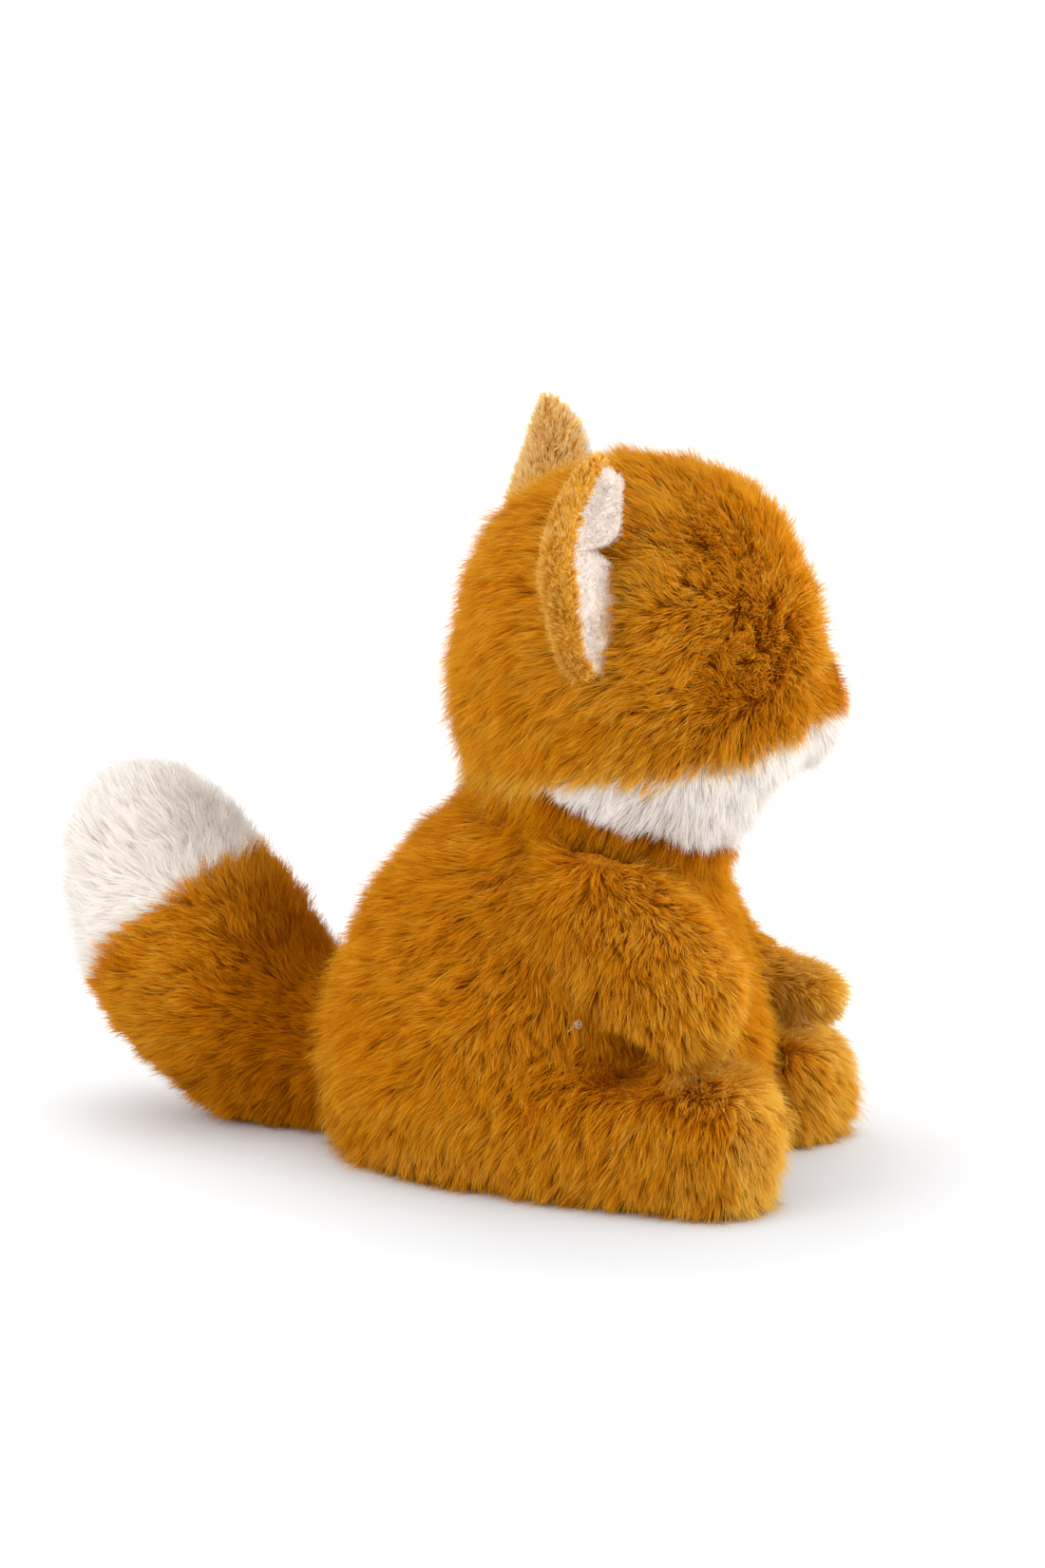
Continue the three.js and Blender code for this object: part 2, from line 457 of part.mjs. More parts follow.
// geometry given in the frame of `from`, placed under `group` without moving it
function add(group, name, shape, material, from = new THREE.Matrix4()) {
  const g = shape.isBufferGeometry ? toGeometry(toSolid(shape)) : toGeometry(shape);
  g.applyMatrix4(from);
  group.updateWorldMatrix(true, false);
  g.applyMatrix4(group.matrixWorld.clone().invert());
  g.computeVertexNormals();
  const m = new THREE.Mesh(g, material);
  m.name = name;
  group.add(m);
  return m;
}

const torso = body(fox, [0, 0, 0]);
add(torso, 'seat_panel', seatPanel, mat(ORANGE));
add(torso, 'torso_cover_right', torsoCoverR, mat(ORANGE));
add(torso, 'torso_cover_left', torsoCoverL, mat(ORANGE));
add(torso, 'torso_front_panel', torsoFront, mat(ORANGE));
add(torso, 'torso_stuffing', torsoStuffing, mat(FIBRE));
add(torso, 'pellet_bag', pelletBag, mat(0xd9d3c4));
add(torso, 'neck_thread', neckThread, mat(0xc98a3c));
add(torso, 'closing_knot', knot, mat(0xf0ece4));

const head = body(fox, NECK, new THREE.Euler().setFromRotationMatrix(headTurn));
add(head, 'head_cover_right', main(crown.intersect(halfBox(-1))), mat(ORANGE), headFrame);
add(head, 'head_cover_left', main(crown.intersect(halfBox(1))), mat(ORANGE), headFrame);
add(head, 'cheek_ruff_right', main(ruff.intersect(halfBox(-1))), mat(WHITE), headFrame);
add(head, 'cheek_ruff_left', main(ruff.intersect(halfBox(1))), mat(WHITE), headFrame);
add(head, 'muzzle_top', muzzleTop, mat(ORANGE), headFrame);
add(head, 'muzzle_chin', muzzleChin, mat(WHITE), headFrame);
add(head, 'head_stuffing', headStuffing, mat(FIBRE), headFrame);
add(head, 'nose', noseTurn, mat(0x1c1815, 0.35), headFrame.clone().multiply(noseFrame));
for (const [side, word] of [[-1, 'right'], [1, 'left']]) {
  const place = headFrame.clone().multiply(eyeFrame(side));
  add(head, `eye_${word}`, eyeShape(), mat(0x15110f, 0.12), place);
  add(head, `eye_washer_${word}`, eyeWasher(), mat(0xe8e6e0, 0.5), place);
  const j = earJoint(side);
  const ear = body(head, new THREE.Vector3(...j.pos).applyMatrix4(headFrame).applyMatrix4(head.matrixWorld.clone().invert()));
  add(ear, `ear_back_${word}`, earBack(side), mat(ORANGE_SHORT), headFrame);
  add(ear, `ear_lining_${word}`, earLining(side), mat(LINING), headFrame);
}

for (const [word, pieces, joint] of [['right', armR, SHOULDER_R], ['left', armL, SHOULDER_L]]) {
  const g = body(fox, joint.pos);
  add(g, `arm_cover_${word}`, pieces.cover, mat(ORANGE));
  add(g, `arm_stuffing_${word}`, pieces.stuffing, mat(FIBRE));
}
for (const [word, pieces, joint] of [['right', legR, HIP_R], ['left', legL, HIP_L]]) {
  const g = body(fox, joint.pos);
  add(g, `leg_cover_${word}`, pieces.cover, mat(ORANGE));
  add(g, `leg_stuffing_${word}`, pieces.stuffing, mat(FIBRE));
}
const tail = body(fox, TAIL_ROOT.pos);
add(tail, 'tail_cover', tailCover, mat(ORANGE));
add(tail, 'tail_tip', tailTip, mat(WHITE));
add(tail, 'tail_stuffing', tailStuffing, mat(FIBRE));

export default fox;
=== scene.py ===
import math

import bpy
import numpy as np
from mathutils import Matrix, Vector
from mathutils.bvhtree import BVHTree
from mathutils.kdtree import KDTree


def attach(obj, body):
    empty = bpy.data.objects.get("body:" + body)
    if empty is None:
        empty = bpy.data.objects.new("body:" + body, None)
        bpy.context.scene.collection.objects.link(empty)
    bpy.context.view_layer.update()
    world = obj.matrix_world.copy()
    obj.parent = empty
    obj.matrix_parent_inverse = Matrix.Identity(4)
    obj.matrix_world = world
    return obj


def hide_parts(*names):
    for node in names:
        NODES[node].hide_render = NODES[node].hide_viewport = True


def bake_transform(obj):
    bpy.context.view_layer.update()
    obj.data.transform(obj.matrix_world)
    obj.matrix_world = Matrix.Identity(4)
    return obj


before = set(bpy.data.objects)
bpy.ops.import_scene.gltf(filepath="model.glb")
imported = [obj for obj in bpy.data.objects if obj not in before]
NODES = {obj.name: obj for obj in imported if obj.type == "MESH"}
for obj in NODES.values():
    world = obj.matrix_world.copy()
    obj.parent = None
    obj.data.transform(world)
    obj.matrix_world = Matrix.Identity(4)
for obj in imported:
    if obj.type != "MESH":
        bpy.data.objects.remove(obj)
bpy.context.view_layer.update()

scene = bpy.context.scene
MM = 0.001

# ---------------------------------------------------------------- the photograph's view
# distance of the camera from the body's axis, its direction, and the size of a pixel of the 1100 x 1650 frame there
AZ, EL, ROLL, DIST, PX = math.radians(290), math.radians(10.2), math.radians(0.5), 1450.0, 0.30
TARGET, SEEN = np.array([0, 0, 110.0]), (589.6, 850.0)


def add_camera():
    back = np.array([math.sin(AZ) * math.cos(EL), -math.cos(AZ) * math.cos(EL), math.sin(EL)])
    right = np.array([math.cos(AZ), math.sin(AZ), 0.0])
    up = np.cross(back, right)
    r2 = right * math.cos(ROLL) + up * math.sin(ROLL)
    u2 = up * math.cos(ROLL) - right * math.sin(ROLL)
    place = TARGET + back * DIST - r2 * (SEEN[0] - 550) * PX + u2 * (SEEN[1] - 825) * PX
    cam = bpy.data.objects.new("camera", bpy.data.cameras.new("camera"))
    m = Matrix.Identity(4)
    for i in range(3):
        m[i][0], m[i][1], m[i][2], m[i][3] = r2[i], u2[i], back[i], place[i] * MM
    cam.matrix_world = m
    cam.data.sensor_fit = "VERTICAL"
    cam.data.sensor_height = 36.0
    cam.data.lens = 36.0 * DIST / (1650 * PX)
    cam.data.clip_start, cam.data.clip_end = 0.05, 100
    scene.collection.objects.link(cam)
    scene.camera = cam


# ---------------------------------------------------------------- small mesh helpers (millimetres inside, metres in Blender)
def unit(a):
    return a / np.maximum(np.linalg.norm(a, axis=-1, keepdims=True), 1e-9)


def smoothstep(a, b, x):
    t = np.clip((x - a) / (b - a), 0, 1)
    return t * t * (3 - 2 * t)


def tris_of(obj):
    me = obj.data
    me.calc_loop_triangles()
    v = np.empty(len(me.vertices) * 3)
    me.vertices.foreach_get("co", v)
    t = np.empty(len(me.loop_triangles) * 3, int)
    me.loop_triangles.foreach_get("vertices", t)
    return v.reshape(-1, 3) / MM, t.reshape(-1, 3)


def vertex_normals(v, t):
    n = np.cross(v[t[:, 1]] - v[t[:, 0]], v[t[:, 2]] - v[t[:, 0]])
    out = np.zeros_like(v)
    for k in range(3):
        np.add.at(out, t[:, k], n)
    return unit(out)


def make_mesh(name, v, faces, smooth=True):
    me = bpy.data.meshes.new(name)
    me.from_pydata((np.asarray(v) * MM).tolist(), [], [list(map(int, f)) for f in faces])
    me.validate()
    if smooth:
        me.polygons.foreach_set("use_smooth", [True] * len(me.polygons))
    ob = bpy.data.objects.new(name, me)
    scene.collection.objects.link(ob)
    return ob


def remeshed(nodes, voxel, rounds, inset, fill=0, where=None):
    """The outer surface of some CAD nodes as one closed smooth skin, moved inwards: vertices, quads, triangles and normals.
    fill is how far hollows between the nodes are filled first."""
    vs, ts, k = [], [], 0
    for n in nodes:
        v, t = tris_of(NODES[n])
        vs.append(v)
        ts.append(t + k)
        k += len(v)
    tmp = make_mesh("tmp_remesh", np.concatenate(vs), np.concatenate(ts))
    mod = tmp.modifiers.new("r", "REMESH")
    mod.mode, mod.voxel_size, mod.adaptivity = "VOXEL", voxel * MM, 0.0
    dg = bpy.context.evaluated_depsgraph_get()
    me = bpy.data.meshes.new_from_object(tmp.evaluated_get(dg), depsgraph=dg)
    v = np.empty(len(me.vertices) * 3)
    me.vertices.foreach_get("co", v)
    v = v.reshape(-1, 3) / MM
    faces = np.array([list(p.vertices) for p in me.polygons if len(p.vertices) == 4])
    e = np.empty(len(me.edges) * 2, int)
    me.edges.foreach_get("vertices", e)
    e = e.reshape(-1, 2)
    old = tmp.data
    bpy.data.objects.remove(tmp)
    bpy.data.meshes.remove(old)
    bpy.data.meshes.remove(me)
    # only the largest connected surface is the outside
    v, faces, e = largest(v, faces, e)
    deg = np.zeros(len(v))
    np.add.at(deg, e.ravel(), 1)
    t = np.concatenate([faces[:, [0, 1, 2]], faces[:, [0, 2, 3]]])

    def pulled(v):
        acc = np.zeros_like(v)
        np.add.at(acc, e[:, 0], v[e[:, 1]])
        np.add.at(acc, e[:, 1], v[e[:, 0]])
        return acc / deg[:, None] - v
    for i in range(rounds):
        for f in (0.6, -0.45):
            v = v + f * pulled(v)
    for i in range(fill):
        n = vertex_normals(v, t)
        v = v + n * (np.maximum(0, (pulled(v) * n).sum(1)) * 0.9 * (where(v) if where else 1))[:, None]
    n = vertex_normals(v, t)
    if callable(inset) or inset:
        v = v - n * (inset(v, n)[:, None] if callable(inset) else inset)
        for i in range(3):
            v = v + 0.4 * pulled(v)
        n = vertex_normals(v, t)
    return v, faces, t, n


def largest(v, faces, e):
    label = np.arange(len(v))
    while True:
        m = np.minimum(label[e[:, 0]], label[e[:, 1]])
        new = label.copy()
        np.minimum.at(new, e[:, 0], m)
        np.minimum.at(new, e[:, 1], m)
        new = new[new]
        if np.array_equal(new, label):
            break
        label = new
    ids, counts = np.unique(label, return_counts=True)
    keep = label == ids[np.argmax(counts)]
    idx = -np.ones(len(v), int)
    idx[keep] = np.arange(keep.sum())
    return v[keep], idx[faces[keep[faces[:, 0]]]], idx[e[keep[e[:, 0]]]]


def noise3(p, scale, seed):
    """Smooth repeatable noise in -1..1 from a few waves with random directions."""
    r = np.random.default_rng(seed)
    out = np.zeros(len(p))
    for k in range(9):
        d = unit(r.normal(size=3)) * r.uniform(0.6, 1.6) * 2 * math.pi / scale
        out += np.sin(p @ d + r.uniform(0, 6.28))
    return out / 4.2


# ---------------------------------------------------------------- pile: every hair is a thin tapered ribbon of real faces
LEVELS = np.array([0.0, 0.38, 0.74, 1.0])


def sample(v, t, n, count, rng):
    a = np.linalg.norm(np.cross(v[t[:, 1]] - v[t[:, 0]], v[t[:, 2]] - v[t[:, 0]]), axis=1) / 2
    k = np.searchsorted(np.cumsum(a) / a.sum(), rng.random(count))
    k = np.minimum(k, len(t) - 1)
    r1, r2 = np.sqrt(rng.random(count)), rng.random(count)
    w = np.stack([1 - r1, r1 * (1 - r2), r1 * r2], 1)
    p = (v[t[k]] * w[:, :, None]).sum(1)
    m = unit((n[t[k]] * w[:, :, None]).sum(1))
    return p, m, k, w


def area_of(v, t):
    return np.linalg.norm(np.cross(v[t[:, 1]] - v[t[:, 0]], v[t[:, 2]] - v[t[:, 0]]), axis=1).sum() / 2


def curves(p, n, f, length, lean0, lean1, weight):
    """Points of each hair at LEVELS: it leaves the skin at lean0 from the normal and ends at lean1, with some weight."""
    d0 = unit(n * np.cos(lean0)[:, None] + f * np.sin(lean0)[:, None])
    d1 = unit(n * np.cos(lean1)[:, None] + f * np.sin(lean1)[:, None] + np.array([0, 0, -1.0]) * weight)
    L = length[:, None]
    a, b = p + d0 * L * 0.5, p + d0 * L * 0.5 + d1 * L * 0.5
    return np.stack([(1 - s) ** 2 * p + 2 * s * (1 - s) * a + s * s * b for s in LEVELS], 1)


def nearest(points, to):
    tree = KDTree(len(points))
    for i, c in enumerate(points):
        tree.insert(c, i)
    tree.balance()
    return np.array([tree.find(q)[1] for q in to])


def pile(skin, density, look, seed, width=0.21, locks=(27.0, 3.1), pull=(0.18, 0.26), swirl=20.0, swirl_size=30.0,
         keep=None, wild=1.0, floor=True, weight=0.10, wisps=0.28, soft=None, wild_out=1.0, rough=0.16):
    """Hair all over a skin. look(p, n, c) gives for each root: flow direction, length, shade and two leans, where c is the
    class of the skin there. Returns one record of hairs, which emit() turns into pieces."""
    v, t, n = skin[:3]
    classes = skin[3] if len(skin) > 3 else np.zeros(len(v), int)
    rng = np.random.default_rng(seed)
    area = area_of(v, t)
    p, m, k, w = sample(v, t, n, int(area * density), rng)
    c = classes[t[k, 0]]
    if keep is not None:
        ok = keep(p, m, c)
        p, m, c = p[ok], m[ok], c[ok]
    centre, cnorm, ck, _ = sample(v, t, n, max(8, int(area / locks[0])), rng)
    ccls = classes[t[ck, 0]]
    small, snorm, sk, _ = sample(v, t, n, max(8, int(area / locks[1])), rng)
    scls = classes[t[sk, 0]]
    own_s = nearest(small, p)
    own_c = nearest(centre, small)

    def grown(q, qn, cls, jitter, lengthen, lift):
        f, length, shade, lean0, lean1 = look(q, qn, cls)
        f = unit(f - qn * (f * qn).sum(1, keepdims=True) + 1e-6)
        ang = np.radians(swirl) * noise3(q, swirl_size, seed + 1) + np.radians(swirl * 0.6) * noise3(q, swirl_size * 0.42, seed + 2) + jitter
        f = f * np.cos(ang)[:, None] + np.cross(qn, f) * np.sin(ang)[:, None]
        pts = curves(q, qn, f, length * lengthen, np.clip(lean0 + lift, 0.05, 1.45), np.clip(lean1 + lift, 0.1, 1.6), weight)
        return pts, shade, length

    nc, ns, npn = len(centre), len(small), len(p)
    cj, cl, cf, cs = rng.normal(0, 0.15, nc), rng.normal(1, 0.08, nc), rng.normal(0, 0.09, nc), rng.normal(0, 0.035, nc)
    cpts, _, _ = grown(centre, cnorm, ccls, cj, cl, cf)
    dj, dl, df = cj[own_c] + rng.normal(0, 0.13, ns), cl[own_c] * rng.normal(1, 0.09, ns), cf[own_c] + rng.normal(-0.01, 0.075, ns)
    ds = cs[own_c] + rng.normal(0, 0.045, ns)
    spts, _, _ = grown(small, snorm, scls, dj, dl, df)
    far = np.linalg.norm(centre[own_c] - small, axis=1)
    for j, s in enumerate(LEVELS):
        spts[:, j] += (cpts[own_c, j] - spts[:, j]) * (pull[0] * s ** 1.3 * (far < 14))[:, None]
    sj, sl = rng.normal(0, 0.10 * wild, npn), np.clip(rng.normal(1, 0.11, npn), 0.6, 1.3)
    sf = rng.normal(0, 0.09 * wild, npn)
    wisp = rng.random(npn) < wisps
    sl[wisp] *= 1.23
    sf[wisp] -= 0.17
    sj[wisp] *= 2.2
    stray = wisp & (rng.random(npn) < 0.26)
    sl[stray] *= 1.12
    sf[stray] -= 0.26 * wild_out
    sl = np.minimum(sl, 1.36)
    pts, shade, length = grown(p, m, c, dj[own_s] + sj, dl[own_s] * sl, df[own_s] + sf)
    firm = np.clip(rng.normal(0.9, 0.5, nc), 0.1, 1.9)         # some locks hold together, others are loose
    hold = np.clip(rng.normal(1, 0.3, npn), 0, 1.4) * firm[own_c[own_s]]
    hold[wisp] *= 0.3
    if soft is not None:
        hold *= soft(p, c)
    near = np.linalg.norm(small[own_s] - p, axis=1) < 8
    for j, s in enumerate(LEVELS):
        lock = (1 - pull[0] * s ** 1.3 * hold * near)[:, None]
        big = cpts[own_c[own_s], j]
        pts[:, j] = big + (pts[:, j] - big) * lock
        pts[:, j] += (spts[own_s, j] - pts[:, j]) * (pull[1] * s ** 1.3 * hold * near)[:, None]
    # a slight wave
    wob = unit(rng.normal(size=(npn, 3)))
    pts[:, 1] += wob * (0.035 * length)[:, None] * rng.random(npn)[:, None]
    pts[:, 2] -= wob * (0.04 * length)[:, None] * rng.random(npn)[:, None]
    if floor:          # hair that meets the floor turns outwards
        out = m.copy()
        out[:, 2] = 0
        out = unit(out)
        rest = 0.4 + 0.5 * rng.random(npn)
        for j in range(1, 4):
            dip = np.maximum(0, rest - pts[:, j, 2])
            pts[:, j] += out * (dip * 0.75)[:, None]
            pts[:, j, 2] += dip
        pts[:, 0, 2] = np.maximum(pts[:, 0, 2], 0.3)
    tang = np.empty_like(pts)
    tang[:, 0] = pts[:, 1] - pts[:, 0]
    tang[:, 1] = pts[:, 2] - pts[:, 0]
    tang[:, 2] = pts[:, 3] - pts[:, 1]
    tang[:, 3] = pts[:, 3] - pts[:, 2]
    tang = unit(tang)
    twist = rng.uniform(-1, 1, npn) * math.radians(60)
    wd = width * np.clip(rng.normal(1, 0.2, npn), 0.5, 1.6) * np.where(wisp, 0.68, 1.0)
    rows = []
    for j, f in ((0, 0.9), (1, 1.0), (2, 0.66)):
        a = unit(np.cross(tang[:, j], m) + 1e-9)
        b = unit(m - tang[:, j] * (m * tang[:, j]).sum(1, keepdims=True))
        half = (a * np.cos(twist)[:, None] + b * np.sin(twist)[:, None]) * (wd * f / 2)[:, None]
        rows += [pts[:, j] - half, pts[:, j] + half]
    rows.append(pts[:, 3])
    co = np.stack(rows, 1)                       # hairs, 7, 3
    if floor:
        co[:, :, 2] = np.maximum(co[:, :, 2], 0.3)
    # shading follows the skin under the hair and a little of the hair itself
    nn = []
    jit = rng.normal(0, rough, (npn, 3))
    for j in (0, 0, 1, 1, 2, 2, 3):
        perp = unit(m - tang[:, j] * (m * tang[:, j]).sum(1, keepdims=True))
        nn.append(unit(m * 0.8 + perp * 0.4 + jit))
    # stray wisps are painted lighter: a painted highlight
    shade = np.clip(shade + ds[own_s] + rng.normal(0, 0.09, npn) + 0.20 * wisp, 0.02, 0.98)
    return {"co": co, "nn": np.stack(nn, 1), "shade": shade, "cls": c, "own": own_c[own_s], "root": p}


def emit(name, hairs, mask, body, material, blend=None):
    idx = np.where(mask)[0]
    if not len(idx):
        return []
    pieces = max(1, math.ceil(len(idx) / 39000))
    idx = idx[np.argsort(hairs["own"][idx], kind="stable")]
    out = []
    for k, part in enumerate(np.array_split(idx, pieces)):
        ob = ribbon_mesh(name if pieces == 1 else f"{name}_{k + 1}", hairs["co"][part], hairs["nn"][part], hairs["shade"][part])
        ob.data.materials.append(material)
        if blend:
            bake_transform(ob)
        else:
            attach(ob, body)
        out.append(ob)
    return out


def ribbon_mesh(name, co, nn, shade):
    h = len(co)
    me = bpy.data.meshes.new(name)
    me.vertices.add(h * 7)
    me.vertices.foreach_set("co", (co.reshape(-1, 3) * MM).astype(np.float32).ravel())
    pattern = np.array([0, 1, 3, 2, 2, 3, 5, 4, 4, 5, 6])
    idx = (np.arange(h)[:, None] * 7 + pattern).ravel()
    me.loops.add(h * 11)
    me.loops.foreach_set("vertex_index", idx.astype(np.int32))
    me.polygons.add(h * 3)
    start = (np.arange(h)[:, None] * 11 + np.array([0, 4, 8])).ravel()
    me.polygons.foreach_set("loop_start", start.astype(np.int32))
    me.update(calc_edges=True)
    uv = me.uv_layers.new(name="OFBake")
    du = 0.004
    us = np.array([-du, du, du, -du, -du, du, du, -du, -du, du, 0])
    lv = np.array([0, 0, LEVELS[1], LEVELS[1], LEVELS[1], LEVELS[1], LEVELS[2], LEVELS[2], LEVELS[2], LEVELS[2], 1.0])
    u = np.clip(shade, 0.01, 0.99)[:, None] + us
    vv = np.broadcast_to(0.004 + 0.992 * lv, u.shape)
    uv.data.foreach_set("uv", np.stack([u, vv], 2).astype(np.float32).ravel())
    me.polygons.foreach_set("use_smooth", np.ones(h * 3, bool))
    at = me.attributes.new("custom_normal", "FLOAT_VECTOR", "POINT")
    at.data.foreach_set("vector", nn.reshape(-1, 3).astype(np.float32).ravel())
    me.update()
    ob = bpy.data.objects.new(name, me)
    scene.collection.objects.link(ob)
    return ob


# ---------------------------------------------------------------- materials
def new_material(name):
    m = bpy.data.materials.new(name)
    m.use_nodes = True
    nt = m.node_tree
    nt.nodes.clear()
    out = nt.nodes.new("ShaderNodeOutputMaterial")
    p = nt.nodes.new("ShaderNodeBsdfPrincipled")
    nt.links.new(p.outputs[0], out.inputs[0])
    return m, nt, p, out


def ramp(nt, stops, source):
    r = nt.nodes.new("ShaderNodeValToRGB")
    el = r.color_ramp.elements
    while len(el) < len(stops):
        el.new(0.5)
    for e, (pos, c) in zip(el, stops):
        e.position = pos
        e.color = (*c, 1) if len(c) == 3 else c
    nt.links.new(source, r.inputs[0])
    return r.outputs[0]


def mix(nt, fac, a, b, kind="MIX"):
    m = nt.nodes.new("ShaderNodeMix")
    m.data_type = "RGBA"
    m.blend_type = kind
    for sock, val in ((m.inputs[0], fac), (m.inputs[6], a), (m.inputs[7], b)):
        if hasattr(val, "links"):
            nt.links.new(val, sock)
        else:
            sock.default_value = val if not isinstance(val, tuple) else (*val, 1)
    return m.outputs[2]


def hair_material(name, roots, mids, tips, sheen=0.25, through=0.5):
    """Colour from the hair's shade (across) and from root to tip (along)."""
    m, nt, p, out = new_material(name)
    uv = nt.nodes.new("ShaderNodeUVMap")
    uv.uv_map = "OFBake"
    sep = nt.nodes.new("ShaderNodeSeparateXYZ")
    nt.links.new(uv.outputs[0], sep.inputs[0])
    u, v = sep.outputs[0], sep.outputs[1]
    a, b, c = (ramp(nt, stops, u) for stops in (roots, mids, tips))
    low = ramp(nt, [(0.0, (0, 0, 0)), (0.55, (1, 1, 1))], v)
    high = ramp(nt, [(0.5, (0, 0, 0)), (1.0, (1, 1, 1))], v)
    col = mix(nt, high, mix(nt, low, a, b), c)
    nt.links.new(col, p.inputs["Base Color"])
    p.inputs["Roughness"].default_value = 0.75
    p.inputs["Specular IOR Level"].default_value = 0.03
    p.inputs["Sheen Weight"].default_value = sheen
    p.inputs["Sheen Roughness"].default_value = 0.5
    p.inputs["Sheen Tint"].default_value = (1.0, 0.85, 0.62, 1)
    tr = nt.nodes.new("ShaderNodeBsdfTranslucent")
    nt.links.new(col, tr.inputs[0])
    ms = nt.nodes.new("ShaderNodeMixShader")
    ms.inputs[0].default_value = through
    nt.links.new(p.outputs[0], ms.inputs[1])
    nt.links.new(tr.outputs[0], ms.inputs[2])
    nt.links.new(ms.outputs[0], out.inputs[0])
    return m


def skin_material(name, dark, light, scale=900, bump=0.5, rough=0.95):
    m, nt, p, out = new_material(name)
    tc = nt.nodes.new("ShaderNodeTexCoord")
    big = nt.nodes.new("ShaderNodeTexNoise")
    big.inputs["Scale"].default_value = scale * 0.12
    big.inputs["Detail"].default_value = 4
    fine = nt.nodes.new("ShaderNodeTexNoise")
    fine.inputs["Scale"].default_value = scale
    fine.inputs["Detail"].default_value = 6
    for n in (big, fine):
        nt.links.new(tc.outputs["Object"], n.inputs["Vector"])
    a = mix(nt, ramp(nt, [(0.35, (0, 0, 0)), (0.68, (1, 1, 1))], fine.outputs[0]), dark, light)
    b = mix(nt, ramp(nt, [(0.3, (0.75, 0.75, 0.75)), (0.7, (1, 1, 1))], big.outputs[0]), (0, 0, 0), a)
    nt.links.new(b, p.inputs["Base Color"])
    p.inputs["Roughness"].default_value = rough
    p.inputs["Specular IOR Level"].default_value = 0.1
    bp = nt.nodes.new("ShaderNodeBump")
    bp.inputs["Strength"].default_value = bump
    bp.inputs["Distance"].default_value = 0.0006
    nt.links.new(fine.outputs[0], bp.inputs["Height"])
    nt.links.new(bp.outputs[0], p.inputs["Normal"])
    return m


def gloss_material(name, colour, rough, coat=0.0):
    m, nt, p, out = new_material(name)
    tc = nt.nodes.new("ShaderNodeTexCoord")
    no = nt.nodes.new("ShaderNodeTexNoise")
    no.inputs["Scale"].default_value = 260
    no.inputs["Detail"].default_value = 5
    nt.links.new(tc.outputs["Object"], no.inputs["Vector"])
    nt.links.new(mix(nt, no.outputs[0], tuple(c * 0.85 for c in colour), tuple(min(1, c * 1.25) for c in colour)), p.inputs["Base Color"])
    p.inputs["Roughness"].default_value = rough
    p.inputs["Specular IOR Level"].default_value = 0.22
    p.inputs["Coat Weight"].default_value = coat
    p.inputs["Coat Roughness"].default_value = 0.05
    return m


ORANGE = hair_material(
    "orange_pile",
    [(0.0, (0.30, 0.078, 0.0008)), (0.5, (0.46, 0.138, 0.001)), (1.0, (0.62, 0.25, 0.008))],
    [(0.0, (0.42, 0.115, 0.0008)), (0.5, (0.69, 0.235, 0.001)), (1.0, (0.86, 0.47, 0.035))],
    [(0.0, (0.55, 0.175, 0.0008)), (0.5, (0.81, 0.350, 0.003)), (0.78, (0.88, 0.50, 0.035)), (1.0, (0.94, 0.69, 0.17))],
    sheen=0.006,
)
WHITE = hair_material(
    "white_pile",
    [(0.0, (0.94, 0.87, 0.80)), (1.0, (0.97, 0.92, 0.86))],
    [(0.0, (0.97, 0.915, 0.86)), (1.0, (0.985, 0.95, 0.905))],
    [(0.0, (0.98, 0.94, 0.89)), (1.0, (0.99, 0.965, 0.93))],
    sheen=0.05,
)
EAR_PILE = hair_material(
    "short_pile",
    [(0.0, (0.42, 0.15, 0.006)), (0.5, (0.62, 0.28, 0.02)), (1.0, (0.74, 0.42, 0.09))],
    [(0.0, (0.66, 0.27, 0.008)), (0.5, (0.85, 0.47, 0.038)), (1.0, (0.94, 0.70, 0.28))],
    [(0.0, (0.76, 0.38, 0.015)), (0.5, (0.93, 0.62, 0.10)), (1.0, (0.98, 0.82, 0.48))],
    sheen=0.05,
)
LINING_PILE = hair_material(
    "lining_pile",
    [(0.0, (0.76, 0.67, 0.60)), (1.0, (0.82, 0.75, 0.69))],
    [(0.0, (0.80, 0.72, 0.65)), (1.0, (0.85, 0.78, 0.73))],
    [(0.0, (0.82, 0.75, 0.68)), (1.0, (0.87, 0.81, 0.77))],
    sheen=0.03,
)
EAR_SKIN = skin_material("short_pile_backing", (0.56, 0.24, 0.012), (0.78, 0.42, 0.05), scale=700)
LINING_SKIN = skin_material("lining_cloth", (0.84, 0.76, 0.69), (0.90, 0.83, 0.77), scale=1500, bump=0.2)
ORANGE_SKIN = skin_material("orange_backing", (0.24, 0.068, 0.001), (0.42, 0.140, 0.002))
WHITE_SKIN = skin_material("white_backing", (0.80, 0.72, 0.65), (0.90, 0.85, 0.80))
FIBRE = skin_material("loose_fibre", (0.66, 0.64, 0.60), (0.92, 0.91, 0.88), scale=500)
CLOTH = skin_material("pellet_cloth", (0.50, 0.47, 0.40), (0.74, 0.70, 0.62), scale=1600)
THREAD = skin_material("thread", (0.34, 0.25, 0.17), (0.60, 0.49, 0.39), scale=2600, rough=0.7)
EYE = gloss_material("eye_plastic", (0.008, 0.005, 0.004), 0.06, coat=0.25)
NOSE = gloss_material("nose_plastic", (0.010, 0.008, 0.007), 0.28, coat=0.0)
WASHER = gloss_material("washer_plastic", (0.72, 0.70, 0.66), 0.45)


def give(node, material):
    o = NODES[node]
    o.data.materials.clear()
    o.data.materials.append(material)


for node_name in NODES:
    if "stuffing" in node_name:
        give(node_name, FIBRE)
    elif "washer" in node_name:
        give(node_name, WASHER)
give("neck_thread", THREAD)

